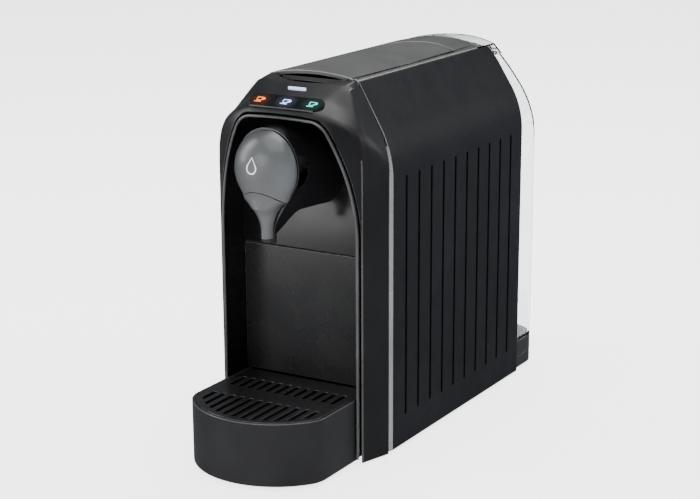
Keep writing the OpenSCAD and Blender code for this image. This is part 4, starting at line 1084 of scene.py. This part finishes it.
def lid_form(inset, low):
    form = prism(section(0.5 + inset), "y", lid_arc_c + 20, tank_back)
    return keep(form, dome(inset), block(-half_w, half_w, lid_arc_c + 20, tank_back, low, body_h + 1))


lid = cut(lid_form(0, tank_top + seam), lid_form(2, tank_top - 3), lid_disc(lid_arc_r, lid_arc_c - 20),
          prism(arc((0, lid_arc_c), lid_arc_r, 0, 358, 2), "z", 180, body_h + 2))
cut(lid, block(cover_hw - 0.2, half_w + 2, 0, panel_len + seam, 0, body_h + 2),
    block(-half_w - 2, 0.2 - cover_hw, 0, panel_len + seam, 0, body_h + 2))
finish_piece(lid, "tank_cap", "lid", ["tank_lid"], [tank_clear], edge=0.4)

# ---- Base ----
# The floor of the machine and the two stepped mouldings that the tank stands on, in satin black.

sill_h = 9
floor_t = 2.5
base_black = plastic("base_black", (0.016, 0.016, 0.017), 0.38, 0.4, 0.012, 0.5)
# A lighter copy of the base's black for the rounded edges: a painted highlight.
base_edge_highlight = plastic("base_edge_highlight", (0.06, 0.06, 0.062), 0.3, 0.5, 0.006, 0.6)
gland = [(x, z) for x, z in arc((-26, 9.5), 5.65, 0, 345, 15)]


def rear_plan(inset):
    return d_plan(tank_hw, panel_len + seam + inset, tank_back, tank_r, tank_corner, inset)


sill = cut(prism(rear_plan(0), "z", 0, sill_h), prism(rear_plan(wall), "z", floor_t, sill_h + 3),
           prism(gland, "y", tank_back - 20, tank_back + 2))
floor_plate = block(2.8 - half_w, half_w - 2.8, 0, panel_len + 3, 0, floor_t)
tongue = block(seam - arch_hw, arch_hw - seam, 4 - frame_out / 2, 1, 0, floor_t)
finish_piece(add(sill, floor_plate, tongue), "base_moulding", "machine", ["base_plate"],
             [base_black, base_edge_highlight], edge=0.4)
seat = cut(prism(rear_plan(0), "z", sill_h + seam, rear_h),
    prism(rear_plan(wall), "z", sill_h - 2, rear_h - 2.2),
           prism(arc((0, valve_y), 8.6, 0, 354, 6), "z", sill_h - 1, rear_h + 2),
           prism(gland, "y", tank_back - 20, tank_back + 2))
finish_piece(seat, "tank_stand", "machine", ["tank_seat"], [base_black, base_edge_highlight], edge=0.5)

# ---- Drip tray, grate and drawer front ----
# The tray carries a slotted grate and is one drawer with the capsule bin; a plain plate closes the bay
# above it.

tray_hw = arch_hw - liner_gap - liner_t - 1
tray_out = 94.5
tray_h = 41.6
tray_wall = 2.2
grate_t = 3
slot_pitch = 7
slot_w = 3.4


def tray_plan(inset, back_y=100):
    return d_plan(tray_hw, -back_y + inset, tray_out, 56, 20, inset, -1)


tray_black = plastic("tray_black", (0.013, 0.013, 0.014), 0.33, 0.35, 0.01, 0.45)
# A lighter copy of the tray's black for the rounded edges of the tray, grate and drawer plate: a painted
# highlight.
tray_edge_highlight = plastic("tray_edge_highlight", (0.05, 0.05, 0.052), 0.28, 0.5, 0.006, 0.6)
tray = cut(prism(tray_plan(0), "z", 0, tray_h), prism(tray_plan(tray_wall + 2), "z", 6, tray_h + 2),
           prism(tray_plan(tray_wall), "z", tray_h - grate_t, tray_h + 2),
           block(-half_w, half_w, -frame_out / 2, 120, -1, floor_t + 0.5))
finish_piece(tray, "tray_moulding", "drawer", ["drip_tray"], [tray_black, tray_edge_highlight],
    edge=0.6)


def slot_row(y0, y1):
    """Round-ended slots in a row across the grate."""
    count = 12
    middle = (y0 + y1) / 2
    slot = prism([(x, y + middle) for y, x in stadium(y1 - y0, slot_w)], "z", tray_h - 9, tray_h + 3)
    return run_nodes(slot, rows, Count=count, Start=((1 - count) / 2 * slot_pitch, 0, 0),
        Step=(slot_pitch, 0, 0),
                     Material=tray_black)


grate_plan = prism(tray_plan(tray_wall + 0.4), "z", tray_h - grate_t, tray_h)
grate = keep(grate_plan, block(-half_w, half_w, -tray_out, -3.4, 0, 60))
front_slots = keep(slot_row(-tray_out - 9, -frame_out - 16), prism(tray_plan(tray_wall + 4.9), "z", 0, 70))
cut(grate, slot_row(-frame_out, 18 - frame_out), front_slots)
grate_black = plastic("grate_black", (0.012, 0.012, 0.013), 0.36, 0.35, 0.01, 0.45)
finish_piece(grate, "grate_plate", "grate", ["drip_grate"], [grate_black, tray_edge_highlight],
    edge=0.35)

drawer_satin = plastic("drawer_satin", (0.013, 0.013, 0.014), 0.27, 0.35, 0.008, 0.5)
door = block(-arch_hw + 2, arch_hw - 2, bay_back, bay_back + 2.6, tray_h + seam, drawer_top)
finish_piece(door, "drawer_plate", "drawer", ["drawer_front"],
    [drawer_satin, tray_edge_highlight], edge=0.7)

# ---- Feet ----
# Four soft rubber pads, each a low turned disc with a rounded rim and a ring pressed in its face.


def rubber(name, colour, roughness=0.7):
    return plastic(name, colour, roughness, 0.8, 0.03, 0.3, 0.15)


foot_rubber = rubber("foot_rubber", (0.02, 0.02, 0.021))


def turned(profile, steps=48):
    """A solid turned about the upright axis, from its lowest ring to its highest."""
    return loft([[(r * math.cos(2 * math.pi * k / steps), r * math.sin(2 * math.pi * k / steps), z)
                  for k in range(steps)] for r, z in profile])


foot_h = ground / MM
pad = turned([(3.2, -foot_h + 0.4), (4.0, -foot_h), (6.2, -foot_h), (6.8, -foot_h + 0.4),
    (7, -foot_h + 1), (7, 0)])
other = pad.copy()
other.data = pad.data.copy()
bpy.context.scene.collection.objects.link(other)
foot_step = (0, tank_back - 34, 0)
run_nodes(pad, rows, Count=2, Start=(half_w - 22, 2, 0), Step=foot_step, Material=foot_rubber)
run_nodes(other, rows, Count=2, Start=(22 - half_w, 2, 0), Step=foot_step, Material=foot_rubber)
finish_piece(add(pad, other), "foot_pads", "machine", ["feet"], [foot_rubber], edge=0)

# ---- Inside ----
# Everything behind the covers keeps its own solid and gets the finish of its material.


def metal(name, colour, roughness, stretch=(1, 1, 1), depth=0.004):
    """Bare metal with drawing or casting marks along one axis."""
    material, tree, shader = new_material(name)
    coords = shader_node(tree, "ShaderNodeTexCoord").outputs["Object"]
    grain = shader_node(tree, "ShaderNodeMapping")
    grain.inputs["Scale"].default_value = stretch
    tree.links.new(coords, grain.inputs["Vector"])
    lines = noise_from(tree, grain.outputs["Vector"], 900, 4)
    shader.inputs["Metallic"].default_value = 1.0
    tree.links.new(colours_between(tree, noise_from(tree, coords, 40, 4), tuple(c * 0.8 for c in colour),
        colour),
                   shader.inputs["Base Color"])
    tree.links.new(between(tree, lines, roughness * 0.7, roughness * 1.3), shader.inputs["Roughness"])
    bump = shader_node(tree, "ShaderNodeBump")
    bump.inputs["Distance"].default_value = depth * MM
    tree.links.new(lines, bump.inputs["Height"])
    tree.links.new(bump.outputs["Normal"], shader.inputs["Normal"])
    return material


def circuit_board():
    """Green laminate with paler copper tracks under the lacquer."""
    material, tree, shader = new_material("circuit_board")
    coords = shader_node(tree, "ShaderNodeTexCoord").outputs["Object"]
    tracks = shader_node(tree, "ShaderNodeTexBrick")
    tracks.inputs["Scale"].default_value = 150
    tracks.inputs["Mortar Size"].default_value = 0.03
    tracks.inputs["Color1"].default_value = (0.01, 0.09, 0.04, 1)
    tracks.inputs["Color2"].default_value = (0.012, 0.11, 0.05, 1)
    tracks.inputs["Mortar"].default_value = (0.04, 0.25, 0.12, 1)
    tree.links.new(coords, tracks.inputs["Vector"])
    tree.links.new(tracks.outputs["Color"], shader.inputs["Base Color"])
    tree.links.new(between(tree, noise_from(tree, coords, 300, 3), 0.25, 0.45), shader.inputs["Roughness"])
    return material


finishes = {
    "rubber": foot_rubber,
    "silicone": rubber("silicone_pale", (0.45, 0.44, 0.42), 0.5),
    "silicone_black": rubber("silicone_black", (0.012, 0.012, 0.013), 0.45),
    "steel": metal("drawn_steel", (0.6, 0.6, 0.62), 0.28, (1, 0.05, 1)),
    "pump_steel": metal("zinc_plate", (0.45, 0.45, 0.47), 0.35, (1, 1, 0.08)),
    "aluminium": metal("cast_aluminium", (0.55, 0.56, 0.57), 0.5, (1, 1, 1), 0.03),
    "inner_plastic": plastic("inner_plastic", (0.35, 0.34, 0.31), 0.45, 0.5, 0.02),
    "frame_plastic": plastic("inner_black", (0.014, 0.014, 0.015), 0.5, 0.5, 0.02),
    "board": circuit_board(),
    "cable": rubber("cable_jacket", (0.02, 0.02, 0.022), 0.5),
    "tube": clear_plastic("clear_hose", (0.9, 0.93, 0.95), 0.12),
    "bin_plastic": plastic("bin_black", (0.02, 0.02, 0.021), 0.45, 0.5, 0.02),
    "gloss_black": gloss_black,
    "clear_tank": tank_clear,
}
for part in frame["record"]["subparts"]:
    finish = finishes.get(part["material_slot"])
    node = frame["nodes"].get(part.get("node") or part.get("name"))
    if node and finish and not node.hide_render:
        for holder in node.material_slots:
            holder.material = finish
